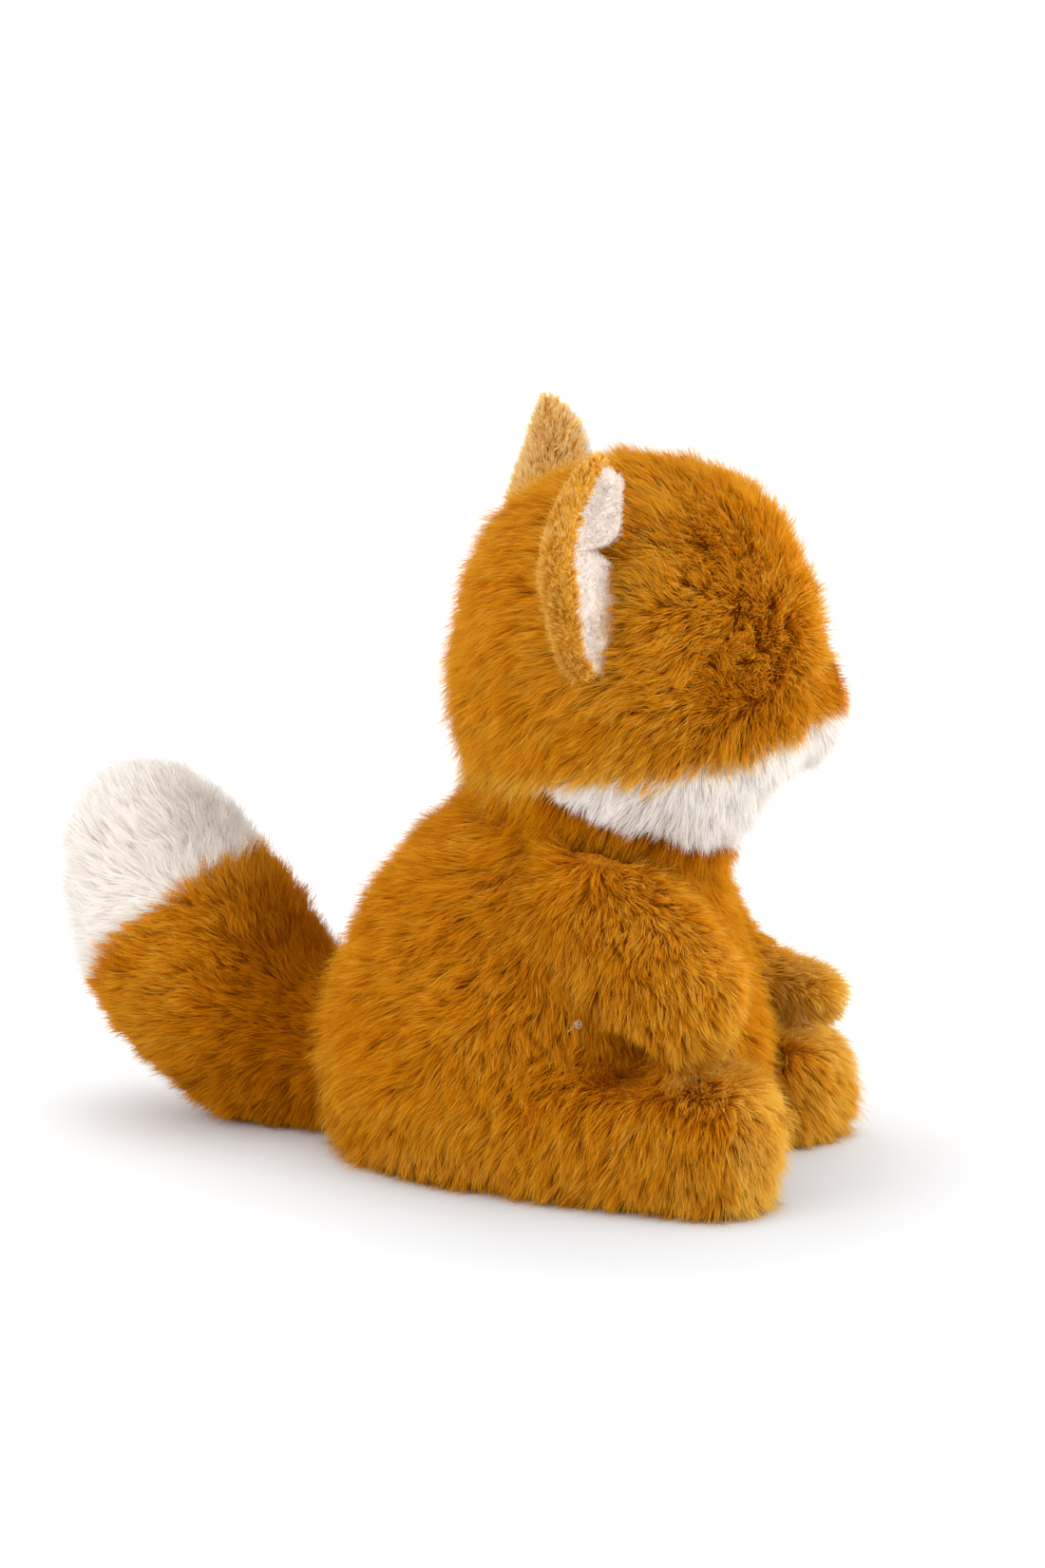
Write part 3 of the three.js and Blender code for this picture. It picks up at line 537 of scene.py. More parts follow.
# ---------------------------------------------------------------- the head's own frame
HEAD_C = np.array([0, -26, 164.5])
YAW, HEAD_ROLL = math.radians(30), math.radians(-4)
HEAD_R = np.array(Matrix.Rotation(YAW, 3, "Z") @ Matrix.Rotation(HEAD_ROLL, 3, "Y"))


def to_head(p):
    return (p - HEAD_C) @ HEAD_R


def from_head(d):
    return d @ HEAD_R.T


EYE_X, EYE_Z, EYE_R = 18.0, 0.5, 5.0
EYE_Y = -55.5 * (1 - (EYE_X / 59) ** 2.15) ** (1 / 2.15)
NOSE_AT = np.array([0, -46 - 19 + 4.4, -11.0])
RUFF_LINE = ([-62, -43, -25, 13, 30, 42], [-18.2, -21.0, -24.4, -28.8, -31.0, -34.0])
RUFF_BACK = 37.0
RUFF_LOW = ([-45, -25, -5, 13, 24, 36], [0.0, 5.5, 10.0, 12.5, 15.0, 18.0])     # its lower edge above the neck seam


def below_ruff_line(q):
    """How far below the line where orange meets white, in the head's frame (positive is white)."""
    return np.interp(q[:, 1], *RUFF_LINE) - q[:, 2]


def neck_gap(p):
    """Height above the neck seam's plane."""
    t = math.radians(9.5)
    return (p - np.array([0, -14, 107.5])) @ np.array([0, -math.sin(t), math.cos(t)])


def base_inset(v, n):
    """Depth of the skin under the CAD surface: the CAD surface is the middle of the pile, except where it rests or is sewn on."""
    d = np.full(len(v), 3.4)
    d *= 1 - 0.88 * smoothstep(0.25, 0.85, -n[:, 2]) * smoothstep(14, 4, v[:, 2])
    near = np.exp(-(neck_gap(v) / 5.0) ** 2) * smoothstep(48, 40, np.hypot(v[:, 0], v[:, 1] + 14))
    return d * (1 - 0.95 * near)


def head_inset(v, n):
    q = to_head(v)
    d = base_inset(v, n)
    d += 2.2 * smoothstep(34, 52, q[:, 2]) * smoothstep(-30, 0, q[:, 1]) + 2.4 * smoothstep(8, 30, q[:, 2]) * smoothstep(6, -24, q[:, 1]) + 0.5
    muz = smoothstep(1.25, 1.0, muzzle_reach(q)) * smoothstep(-44, -50, q[:, 1])
    return d * (1 - muz) + 2.2 * muz


def muzzle_reach(q):
    return np.linalg.norm((q - np.array([0, -46, -19])) / np.array([26, 19, 21]), axis=1)


def is_ruff(p):
    q = to_head(p)
    d = below_ruff_line(q)
    return (d > 0) & (q[:, 1] < RUFF_BACK - 1.1 * d) & (neck_gap(p) > np.interp(q[:, 1], *RUFF_LOW))


def tail_white(p):
    bent = 9.0 * smoothstep(138, 155, p[:, 1]) + 4.5 * smoothstep(115, 100, p[:, 1])      # the seam dips at both ends
    return (p - np.array([0, 132, 66.5])) @ unit(np.array([0, 0.62, 0.785])) + bent


# ---------------------------------------------------------------- skins and stuffings
def add_skin(name, nodes, fill_nodes, voxel, inset, body, material, blend=None, rounds=8, white=None):
    v, faces, t, n = remeshed(list(nodes) + list(fill_nodes), voxel, rounds, inset)
    v[:, 2] = np.maximum(v[:, 2], 0.25)
    ob = make_mesh(name, v, faces)
    ob.data.materials.append(material)
    if white is not None:
        ob.data.materials.append(WHITE_SKIN)
        ob.data.polygons.foreach_set("material_index", white(v[faces].mean(1)).astype(int))
    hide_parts(*nodes)
    if blend:
        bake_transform(ob)
    else:
        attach(ob, body)
    return v, t, n


def add_fill(name, node, body, blend=None, material=None, inset=4.8):
    """What fills the toy, a little smaller than its CAD solid, so that it stays under the skin."""
    v, faces, t, n = remeshed([node], 3.0, 6, inset)
    ob = make_mesh(name, v, faces)
    ob.data.materials.append(material or FIBRE)
    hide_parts(node)
    if blend:
        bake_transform(ob)
    else:
        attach(ob, body)


TAIL_BLEND = ("torso", "tail", (0, 0.066, 0.028), (0, 0.092, 0.034))
TORSO_NODES = ["seat_panel", "torso_cover_right", "torso_cover_left", "torso_front_panel"]
HEAD_NODES = ["head_cover_right", "head_cover_left", "cheek_ruff_right", "cheek_ruff_left", "muzzle_top", "muzzle_chin"]
torso_skin = add_skin("torso_skin", TORSO_NODES, ["torso_stuffing", "pellet_bag"], 2.2, base_inset, "torso", ORANGE_SKIN)
head_skin = add_skin("head_skin", HEAD_NODES, ["head_stuffing"], 2.0, head_inset, "head", ORANGE_SKIN, white=is_ruff)
tail_skin = add_skin("tail_skin", ["tail_cover", "tail_tip"], ["tail_stuffing"], 2.0, base_inset, "tail", ORANGE_SKIN, blend=TAIL_BLEND, white=lambda p: tail_white(p) >= 0)
limb_skin = {}
for part, sides in (("arm", ("right", "left")), ("leg", ("right", "left"))):
    for side in sides:
        body = f"{part}_{side}"
        limb_skin[body] = add_skin(f"{part}_skin_{side}", [f"{part}_cover_{side}"], [f"{part}_stuffing_{side}"], 1.8, base_inset, body, ORANGE_SKIN)
        add_fill(f"{part}_fill_{side}", f"{part}_stuffing_{side}", body)
add_fill("torso_fill", "torso_stuffing", "torso")
add_fill("pellet_pouch", "pellet_bag", "torso", material=CLOTH)
add_fill("head_fill", "head_stuffing", "head")
add_fill("tail_fill", "tail_stuffing", "tail", blend=TAIL_BLEND)


def signed(points, skin):
    """Distance of points from a skin, negative inside it."""
    v, t, n = skin[:3]
    tree = BVHTree.FromPolygons(v.tolist(), t.tolist())
    out = np.empty(len(points))
    for i, q in enumerate(points):
        at, _, k, d = tree.find_nearest(Vector(q))
        out[i] = -d if (q - np.array(at)) @ n[t[k]].sum(0) < 0 else d
    return out


# one coat over the torso, limbs and tail: hollows between them are filled, and each hair belongs to the nearest body
BODIES = ["torso", "arm_right", "arm_left", "leg_right", "leg_left", "tail"]
own_skin = {"torso": torso_skin, "tail": tail_skin, **limb_skin}
lower_nodes = TORSO_NODES + ["torso_stuffing", "pellet_bag", "tail_cover", "tail_tip", "tail_stuffing"]
for part in ("arm", "leg"):
    for side in ("right", "left"):
        lower_nodes += [f"{part}_cover_{side}", f"{part}_stuffing_{side}"]
HOLLOW = np.array([-58, -44, 46.0])         # the hollow between the near arm and the leg, which is sunk and given painted shade


def fill_where(v):
    """How strongly a hollow is filled: fully at the legs and the tail, little where an arm hangs off the side."""
    w = 1 - 0.65 * smoothstep(38, 52, v[:, 2]) * smoothstep(30, 10, v[:, 1])
    return w * (1 - 0.95 * smoothstep(22, 12, np.linalg.norm((v - HOLLOW) * np.array([1, 0.8, 1.2]), axis=1)))


cv, cfaces, ct, cn = remeshed(lower_nodes, 2.2, 8, base_inset, fill=12, where=fill_where)
cv -= cn * (5.0 * smoothstep(17, 5, np.linalg.norm(cv - HOLLOW, axis=1)))[:, None]      # the hollow is sunk
cv[:, 2] = np.maximum(cv[:, 2], 0.3)
gap = np.stack([signed(cv, own_skin[b]) for b in BODIES], 1)
coat = (cv, ct, cn, np.argmin(np.abs(gap), 1))


# ---------------------------------------------------------------- how the pile lies
def v3(x, y, z, k):
    return np.stack([np.broadcast_to(np.asarray(a, float), (k,)) for a in (x, y, z)], 1)


def along(p, line):
    """Nearest place on a line of points: distance, and how far along it from 0 to 1."""
    line = np.asarray(line, float)
    best, where = np.full(len(p), 1e9), np.zeros(len(p))
    for i in range(len(line) - 1):
        a, b = line[i], line[i + 1]
        s = np.clip(((p - a) @ (b - a)) / ((b - a) @ (b - a)), 0, 1)
        d = np.linalg.norm(p - (a + s[:, None] * (b - a)), axis=1)
        k = d < best
        best[k], where[k] = d[k], (i + s[k]) / (len(line) - 1)
    return best, where


ARM_LINES = {-1: [[-40, -12, 104], [-44, -28, 92], [-49, -46, 76], [-52, -60, 62], [-52, -72, 51]],
             1: [[40, -12, 101], [44, -18, 82.5], [48, -30, 65.5], [51, -49, 52], [50, -67, 47], [49, -81, 45]]}
LEG_LINES = {-1: [[-42, 8, 21.5], [-46, -14, 21.5], [-49, -38, 21.5], [-50, -62, 21.5], [-50, -88, 21.5]],
             1: [[42, 8, 19], [46, -14, 18.4], [47, -38, 18.2], [42.5, -60, 18], [37, -83, 18]]}
TAIL_ROOT = np.array([0, 60.0, 26.0])
KNOT = np.array([-59.8, -28, 55.5])


def coat_look(p, n, c):
    k = len(p)
    y, z = p[:, 1], p[:, 2]
    side = np.where(p[:, 0] < 0, -1, 1)
    # torso: back and down from the shoulders, straight down low on the body
    sy = (0.22 + 0.44 * smoothstep(-20, 35, y)) * (0.25 + 0.75 * smoothstep(8, 65, z)) * smoothstep(-60, -15, y)
    f = v3(0, sy, -0.66 - 0.25 * smoothstep(30, 8, z), k)
    length = 9.5 + 0.6 * smoothstep(55, 85, z) * smoothstep(-10, 20, y) - 1.8 * smoothstep(45, 60, z) * smoothstep(-28, -45, y)
    lean0, lean1 = np.full(k, 0.52), np.full(k, 1.17)
    lean1 -= 0.14 * smoothstep(20, 60, z) * smoothstep(-5, 25, y)
    # painted light: the pile is lighter low on the body, with a random tone on top
    shade = 0.445 + 0.10 * smoothstep(48, 16, z) + 0.05 * noise3(p, 45, 77)
    for s in (-1, 1):
        on = side == s
        d, t = along(p[on], ARM_LINES[s])
        w = smoothstep(26, 20, d) * smoothstep(0.12, 0.45, t)
        g = v3(0, -0.35 - 0.55 * smoothstep(0.45, 1.0, t), -0.9, on.sum())
        f[on] = f[on] * (1 - w)[:, None] + g * w[:, None]
        # painted light: the arms' pile is lighter, most of all on the front of the far arm's paw
        shade[on] += (0.10 if s < 0 else 0.62) * w * smoothstep(-44, -68, y[on]) + 0.12 * w
        # painted shade along the valley behind the near arm
        shade[on] -= 0.24 * np.exp(-((d - 23.5) / 2.8) ** 2) * smoothstep(0.2, 0.45, t) * (s < 0) * smoothstep(2, -10, y[on])
        length[on] -= (0.8 if s < 0 else 1.8) * w
        d, t = along(p[on], LEG_LINES[s])
        w = smoothstep(29, 23, d) * smoothstep(0.42, 0.68, t)
        tip = LEG_LINES[s][-1]
        g = unit(p[on] - np.array([tip[0] - s * 4, tip[1] + 30, 50.0]))      # fans out from the top of the leg
        f[on] = f[on] * (1 - w)[:, None] + g * w[:, None]
        # painted light: lighter on the front faces of the feet, and a little over the whole leg
        shade[on] += (0.38 if s < 0 else 0.12) * w * smoothstep(-0.3, -0.8, n[on][:, 1]) + (0.06 * w if s > 0 else 0.06 * w)
        length[on] -= (0.4 if s < 0 else 1.0) * w + 1.6 * w * smoothstep(tip[1], tip[1] - 12, y[on])
    for s in (-1, 1):
        w = smoothstep(20, 8, np.linalg.norm(p - np.array([s * 45.0, -13, 101]), axis=1))
        lean0 -= 0.22 * w
        lean1 -= 0.40 * w
    # the pile parts round the knot, and in the hollow below the arm it is shorter and has painted shade
    d = np.linalg.norm(p - KNOT, axis=1)
    w = smoothstep(14, 3, d)
    f = f * (1 - 0.6 * w)[:, None] - unit(p - KNOT) * (0.6 * w)[:, None]
    length *= 1 - 0.45 * smoothstep(9, 3, d)
    w = smoothstep(17, 5, np.linalg.norm(p - HOLLOW, axis=1))
    shade -= 0.66 * w
    length *= 1 - 0.48 * w
    # tail: away from its root, fanning out
    tail = c == 5
    g = unit(p - TAIL_ROOT) + v3(0, 0, -0.10, k)
    f[tail] = g[tail]
    white = tail & (tail_white(p) >= 0)
    near = smoothstep(70, 25, np.linalg.norm(p - TAIL_ROOT, axis=1))
    # painted shade: the tail's pile is darker near its root, where the body shades it, with a random tone on top
    shade[tail] = (0.52 - 0.41 * near + 0.04 * noise3(p, 40, 78))[tail]
    length[tail] = (9.2 - 1.8 * smoothstep(-0.1, -0.7, n[:, 2]))[tail]
    lean1[tail] = 1.14
    f[white] = unit(p - np.array([0, 92.0, 40.0]))[white]
    shade[white] = (0.6 + 0.12 * noise3(p, 30, 9))[white]
    # low down the hair hangs to the floor
    hang = smoothstep(16, 4, z)
    f[:, 2] -= 0.7 * hang
    lean0 = lean0 - 0.05 * hang
    return f, length, shade, lean0, lean1


def coat_keep(p, n, c):
    return ~((n[:, 2] < -0.8) & (p[:, 2] < 3.0)) & (neck_gap(p) < -0.6)


def inner_look(p, n, c):
    return v3(0, -0.1, -1, len(p)), np.full(len(p), 6.0), np.full(len(p), 0.4), np.full(len(p), 0.6), np.full(len(p), 1.25)


def crease_y(z):
    return np.interp(z, [-32, -28, -15.5, -4.5, 6, 12, 18], [-43, -44.5, -48, -50, -52.5, -57, -62])


EYES = [np.array([s * EYE_X, EYE_Y, EYE_Z]) for s in (-1, 1)]


def head_look(p, n, c):
    q = to_head(p)
    k = len(p)
    low = smoothstep(-5, -40, q[:, 2])
    back = smoothstep(10, 45, q[:, 1])
    f = unit(q - np.array([0, -68, 0]))
    f[:, 2] += -0.55 * low - 0.5 * back * smoothstep(30, -10, q[:, 2])
    cy = crease_y(q[:, 2])
    muz = (q[:, 1] < cy) & (q[:, 2] < 13)
    g = v3(0, -0.35, -0.9, k)
    g[:, 0] = 0.3 * np.sign(q[:, 0])
    f[muz] = g[muz]
    d = np.abs(q[:, 1] - cy)
    groove = np.exp(-(d / 2.6) ** 2) * smoothstep(16, 8, q[:, 2]) * (q[:, 2] > -32)
    length = np.full(k, 9.8) - 2.0 * smoothstep(-38, -52, q[:, 1]) - 1.2 * smoothstep(12, 34, q[:, 2]) * smoothstep(2, -24, q[:, 1]) - 0.8 * smoothstep(38, 52, q[:, 2])
    length += 1.8 * smoothstep(25, 45, q[:, 1]) * smoothstep(15, -5, q[:, 2])
    length *= 1 - 0.45 * groove
    reach = muzzle_reach(q)
    on_muz = smoothstep(1.3, 1.05, reach) * smoothstep(-44, -52, q[:, 1])
    length = length * (1 - on_muz) + 5.8 * on_muz
    lean0 = np.full(k, 0.55) + 0.12 * smoothstep(-20, -45, q[:, 1])
    lean1 = np.full(k, 1.16) - 0.02 * on_muz - 0.14 * smoothstep(25, 45, q[:, 1]) * smoothstep(15, -5, q[:, 2])
    # painted shade: the pile is darker low on the head, on the cheek and towards the back, with a random tone on top
    shade = 0.57 - 0.05 * low - 0.05 * smoothstep(30, 0, np.hypot(q[:, 1] + 18, q[:, 2] + 2)) + 0.05 * noise3(p, 40, 79) - 0.05 * back
    # painted highlight on a band of the muzzle beside the crease; painted shade in the crease and over the whole muzzle
    shade += 0.16 * muz * np.exp(-((d - 4.0) / 2.5) ** 2) - 0.22 * groove - 0.30 * muz
    line = below_ruff_line(q)
    # the orange just above the ruff line is lighter; below it, painted shade darkens the orange band under the head
    shade += 0.24 * smoothstep(-8, -1, line) * smoothstep(3, 0, line) - 0.16 * smoothstep(0, 4, line) * (q[:, 1] < RUFF_BACK + 6)
    for e in EYES:
        dd = np.linalg.norm(q - e, axis=1)
        kk = smoothstep(8.0, 5.4, dd)
        f = f * (1 - kk)[:, None] + unit(q - e) * kk[:, None]
        length *= 1 - 0.5 * kk
        lean1 += 0.15 * kk
        temple = smoothstep(25, 9, dd) * smoothstep(0, 5, (q[:, 0] - e[0]) * np.sign(e[0])) * (1 - on_muz)
        lean0 -= 0.16 * temple
        lean1 -= 0.28 * temple
        length += 2.6 * temple
        # painted light: the pile is lighter where the hair stands up at the temple, against the shadow among its roots
        shade += 0.14 * temple
    dd = np.linalg.norm(q - NOSE_AT, axis=1)
    kk = smoothstep(10, 6.5, dd) * smoothstep(8.5, 5.0, np.abs(q[:, 0]))
    f = f * (1 - kk)[:, None] + unit(q - NOSE_AT) * kk[:, None]
    length *= 1 - 0.3 * kk
    flank = smoothstep(16, 9, dd) * smoothstep(5, 8, np.abs(q[:, 0]))
    lean0 -= 0.15 * flank
    lean1 -= 0.3 * flank
    return from_head(f), length, shade, lean0, lean1


def ruff_look(p, n, c):
    q = to_head(p)
    f = v3(0, 0.35 + 0.5 * smoothstep(-15, 15, q[:, 1]), -1.0, len(p))
    reach = muzzle_reach(q)
    on_muz = smoothstep(1.3, 1.05, reach) * smoothstep(-44, -52, q[:, 1])
    g = v3(0, 0.25, -0.9, len(p))
    f = f * (1 - on_muz)[:, None] + g * on_muz[:, None]
    edge = neck_gap(p) - np.interp(q[:, 1], *RUFF_LOW)
    length = (9.4 - 3.0 * smoothstep(8, 1, edge) - 1.6 * smoothstep(8, 2, neck_gap(p))) * (1 - on_muz) + 7.2 * on_muz
    lean1 = 1.12 - 0.1 * on_muz
    return from_head(f), length, 0.6 + 0.1 * noise3(p, 30, 5), np.full(len(p), 0.5), lean1


def face_clear(p):
    q = to_head(p)
    ok = np.ones(len(p), bool)
    for e in EYES:
        ok &= np.linalg.norm(q - e, axis=1) > EYE_R + 0.5
    return ok & (np.linalg.norm((q - NOSE_AT) * np.array([1, 0.6, 1.15]), axis=1) > 5.7)


def head_keep(p, n, c):
    return face_clear(p) & (neck_gap(p) > 0.4) & ~is_ruff(p)


def ruff_keep(p, n, c):
    return face_clear(p) & (neck_gap(p) > 0.4) & is_ruff(p)


def head_soft(p, c):
    """Looser locks above the ruff and round the eyes."""
    q = to_head(p)
    near = np.min([np.linalg.norm(q - e, axis=1) for e in EYES], axis=0)
    return (1 - 0.6 * smoothstep(-11, -4, below_ruff_line(q))) * (1 - 0.45 * smoothstep(21, 12, near))


# ---------------------------------------------------------------- pile on each part
DENSITY = 4.4
hairs = pile(coat, DENSITY, coat_look, 11, swirl=27, swirl_size=25, keep=coat_keep, soft=lambda p, c: np.where((c == 5) & (tail_white(p) >= 0), 0.3, 1.0))
white = (hairs["cls"] == 5) & (tail_white(hairs["root"]) >= 0)
for i, b in enumerate(BODIES):
    mask = (hairs["cls"] == i) & ~white
    name = b.replace("_", "_pile_") if "_" in b else b + "_pile"
    emit(name, hairs, mask, b, ORANGE, TAIL_BLEND if b == "tail" else None)
emit("tail_tip_pile", hairs, white, "tail", WHITE, TAIL_BLEND)
print("PILE coat", len(hairs["shade"]), "area", round(area_of(cv, ct)))

hairs = pile(head_skin, DENSITY, head_look, 21, swirl=28, swirl_size=25, keep=head_keep, floor=False,
             soft=head_soft)
emit("head_pile", hairs, np.ones(len(hairs["shade"]), bool), "head", ORANGE)
print("PILE head", len(hairs["shade"]))
hairs = pile(head_skin, DENSITY * 1.2, ruff_look, 31, swirl=22, swirl_size=20, keep=ruff_keep, floor=False, pull=(0.08, 0.12), wisps=0.2)
emit("ruff_pile", hairs, np.ones(len(hairs["shade"]), bool), "head", WHITE)
print("PILE ruff", len(hairs["shade"]))

# shorter pile where a limb lies against the torso, which shows when it moves
cover_tree = (cv, ct, cn)
for i, b in enumerate(BODIES[:5]):
    skin = own_skin[b]
    deep = signed(skin[0], cover_tree)
    others = np.min(np.stack([signed(skin[0], own_skin[o]) for o in BODIES if o != b], 1), 1)
    flag = ((deep < -1.5) & (others > -3.0)).astype(int)
    if flag.sum() < 20:
        continue
    h = pile((*skin, flag), 1.3, inner_look, 81 + i, width=0.4, keep=lambda p, n, c: (c == 1) & (neck_gap(p) < -0.6))
    emit((b.replace("_", "_under_pile_") if "_" in b else b + "_under_pile"), h, np.ones(len(h["shade"]), bool), b, ORANGE)
    print("PILE under", b, len(h["shade"]))

for node_name in ("eye_right", "eye_left"):
    give(node_name, EYE)
give("nose", NOSE)
# ---------------------------------------------------------------- ears: a short-pile back, a smooth lining turned over the front edge
EAR = np.array([
    [[3, 0], [-54.5, 22.5], [-56.6, 26.2], [-58.6, 25.2]], [[9, 0], [-53.5, 20], [-57.6, 29.5], [-62.5, 27.5]],
    [[19, 0], [-50.8, 16], [-58.6, 31], [-67.5, 29.5]], [[29.5, 0], [-47, 13], [-59, 32], [-70.5, 29.2]],
    [[41, 0], [-43.4, 9], [-57.5, 28.8], [-69.5, 27]], [[51, 0], [-47, 6.5], [-56.5, 24], [-65.5, 22.5]],
    [[60, 0], [-51.5, 7.5], [-56, 20], [-61.5, 18.5]], [[66.8, 0], [-54.6, 12.6], [-56, 16.8], [-58, 16.4]]], float)
EAR_SHIFT = {-1: (5, 3), 1: (0, -5)}
EAR_LEAN = {-1: np.array([[-0.5, 1.0], [-0.8, 1.4], [-0.8, 1.8], [1.5, 3.2], [4.2, 6.2], [8.4, 8.6], [8.2, 8.8], [7.2, 7.0]]),
            1: np.array([[0, 0], [0, 0], [0, 0], [0, 0], [1.2, 0.6], [3.6, 2.4], [4.3, 4.4], [4.6, 4.8]])}
NOTCH = {-1: 0.19, 1: 0.05}


def ear_point(side, u, v):
    rows, lean, (s1, s2) = EAR, EAR_LEAN[side], EAR_SHIFT[side]
    x = u * (len(rows) - 1)
    i = np.clip(np.floor(x), 0, len(rows) - 2).astype(int)
    f = x - i
    k = [np.clip(i + d, 0, len(rows) - 1) for d in (-1, 0, 1, 2)]

    def blend4(val):
        a, b, c, d = [val[j] for j in k]
        return 0.5 * (2 * b + (c - a) * f + (2 * a - 5 * b + 4 * c - d) * f * f + (3 * b - a - 3 * c + d) * f ** 3)
    z = blend4(rows[:, 0, 0])
    full = np.sin(np.pi * np.clip(0.1 + 0.75 * u, 0, 1))
    q = []
    for c in (0, 1):
        a = blend4(rows[:, 1, c] + (lean[:, 0] if c else 0)) + (s1 * full if c else 0)
        m = blend4(rows[:, 2, c] + (lean[:, 1] if c else 0)) + (s2 * full if c else 0)
        b = blend4(rows[:, 3, c] + (lean[:, 1] if c else 0)) + (s2 * full if c else 0)
        h = 2 * m - (a + b) / 2
        q.append((1 - v) ** 2 * a + 2 * v * (1 - v) * h + v * v * b)
    return np.stack([-side * q[0], q[1], z], -1)


def ear_place(side, u, v, t):
    """A point of the ear at u along it, v across it, t off its middle layer, in the head's frame; the front edge has a fold."""
    below = np.exp(-((u - 0.555) / 0.05) ** 2)
    above = np.exp(-np.abs((u - 0.555) / 0.034) ** 2.4)
    v0 = NOTCH[side] * np.where(u < 0.555, below, above)
    w = v0 + v * (1 - v0)
    e = 1e-3
    p = ear_point(side, u, w)
    du = ear_point(side, np.minimum(1, u + e), w) - ear_point(side, np.maximum(0, u - e), w)
    dv = ear_point(side, u, w + e) - ear_point(side, u, w - e)
    n = unit(np.cross(du, dv)) * -side
    q = p + n * np.asarray(t)[..., None]
    if side < 0:       # the upper lobe hangs a little over the notch
        q[..., 2] -= 2.6 * smoothstep(0.553, 0.572, u) * smoothstep(0.70, 0.60, u) * np.clip(1 - w, 0, 1.1) ** 1.5
    return q, n, unit(du), unit(dv)


def ear_tube(side, ring, us, end=1.0, even=0):
    """A closed skin round a cross-section of (v, t) pairs, in the world's frame."""
    ring = np.array(ring, float)
    rows = []
    for u in us:
        k = 0.35 + 0.65 * math.sqrt(max(0.0, 1 - (max(0.0, u - end + 0.10) / 0.115) ** 2))
        v = 0.5 + (ring[:, 0] - 0.5) * k
        rows.append(ear_place(side, np.full(len(ring), min(u, 1.0)), v, ring[:, 1])[0])
    rows = np.array(rows)
    for _ in range(even):
        rows[1:-1] = (rows[:-2] + 2 * rows[1:-1] + rows[2:]) / 4
    nu, nr = rows.shape[:2]
    pts = np.concatenate([rows.reshape(-1, 3), rows[:1].mean(1), rows[-1:].mean(1)])
    faces = []
    for i in range(nu - 1):
        for j in range(nr):
            a, b = i * nr + j, i * nr + (j + 1) % nr
            faces.append((a, b, b + nr, a + nr))
    lo, hi = nu * nr, nu * nr + 1
    caps = [(lo, (j + 1) % nr, j) for j in range(nr)] + [(hi, (nu - 1) * nr + j, (nu - 1) * nr + (j + 1) % nr) for j in range(nr)]
    f4 = np.array(faces)
    tri = np.concatenate([f4[:, [0, 1, 2]], f4[:, [0, 2, 3]], np.array(caps)])
    world = from_head(pts) + HEAD_C
    vol = (np.cross(world[tri[:, 0]], world[tri[:, 1]]) * world[tri[:, 2]]).sum()
    if vol < 0:
        tri, faces, caps = tri[:, ::-1], [f[::-1] for f in faces], [f[::-1] for f in caps]
    return world, faces + caps, tri, vertex_normals(world, tri)


def ear_look(side, long):
    def look(p, n, c):
        q = to_head(p)
        u = np.clip((q[:, 2] - 3) / 64, 0, 1)
        mid = ear_point(side, u, np.full(len(u), 0.5))
        out = unit(q - mid)
        f = v3(0, 0, 1.0, len(p)) + out * 0.55
        # painted light: the far ear's pile is painted lighter than the near ear's; both get a random tone and are a
        # little lighter towards the tip
        shade = (0.44 if side < 0 else 0.88) + 0.10 * noise3(p, 9, 15) + 0.06 * smoothstep(0.4, 0.9, u)
        return from_head(f), np.full(len(p), long) * (0.85 + 0.3 * (1 - u)), shade, np.full(len(p), 0.6), np.full(len(p), 1.0 if side < 0 else 1.2)
    return look


def lining_look(p, n, c):
    f = from_head(v3(0, 0, 1.0, len(p)))
    return f, np.full(len(p), 1.5), 0.66 + 0.05 * noise3(p, 9, 16), np.full(len(p), 0.5), np.full(len(p), 1.2)


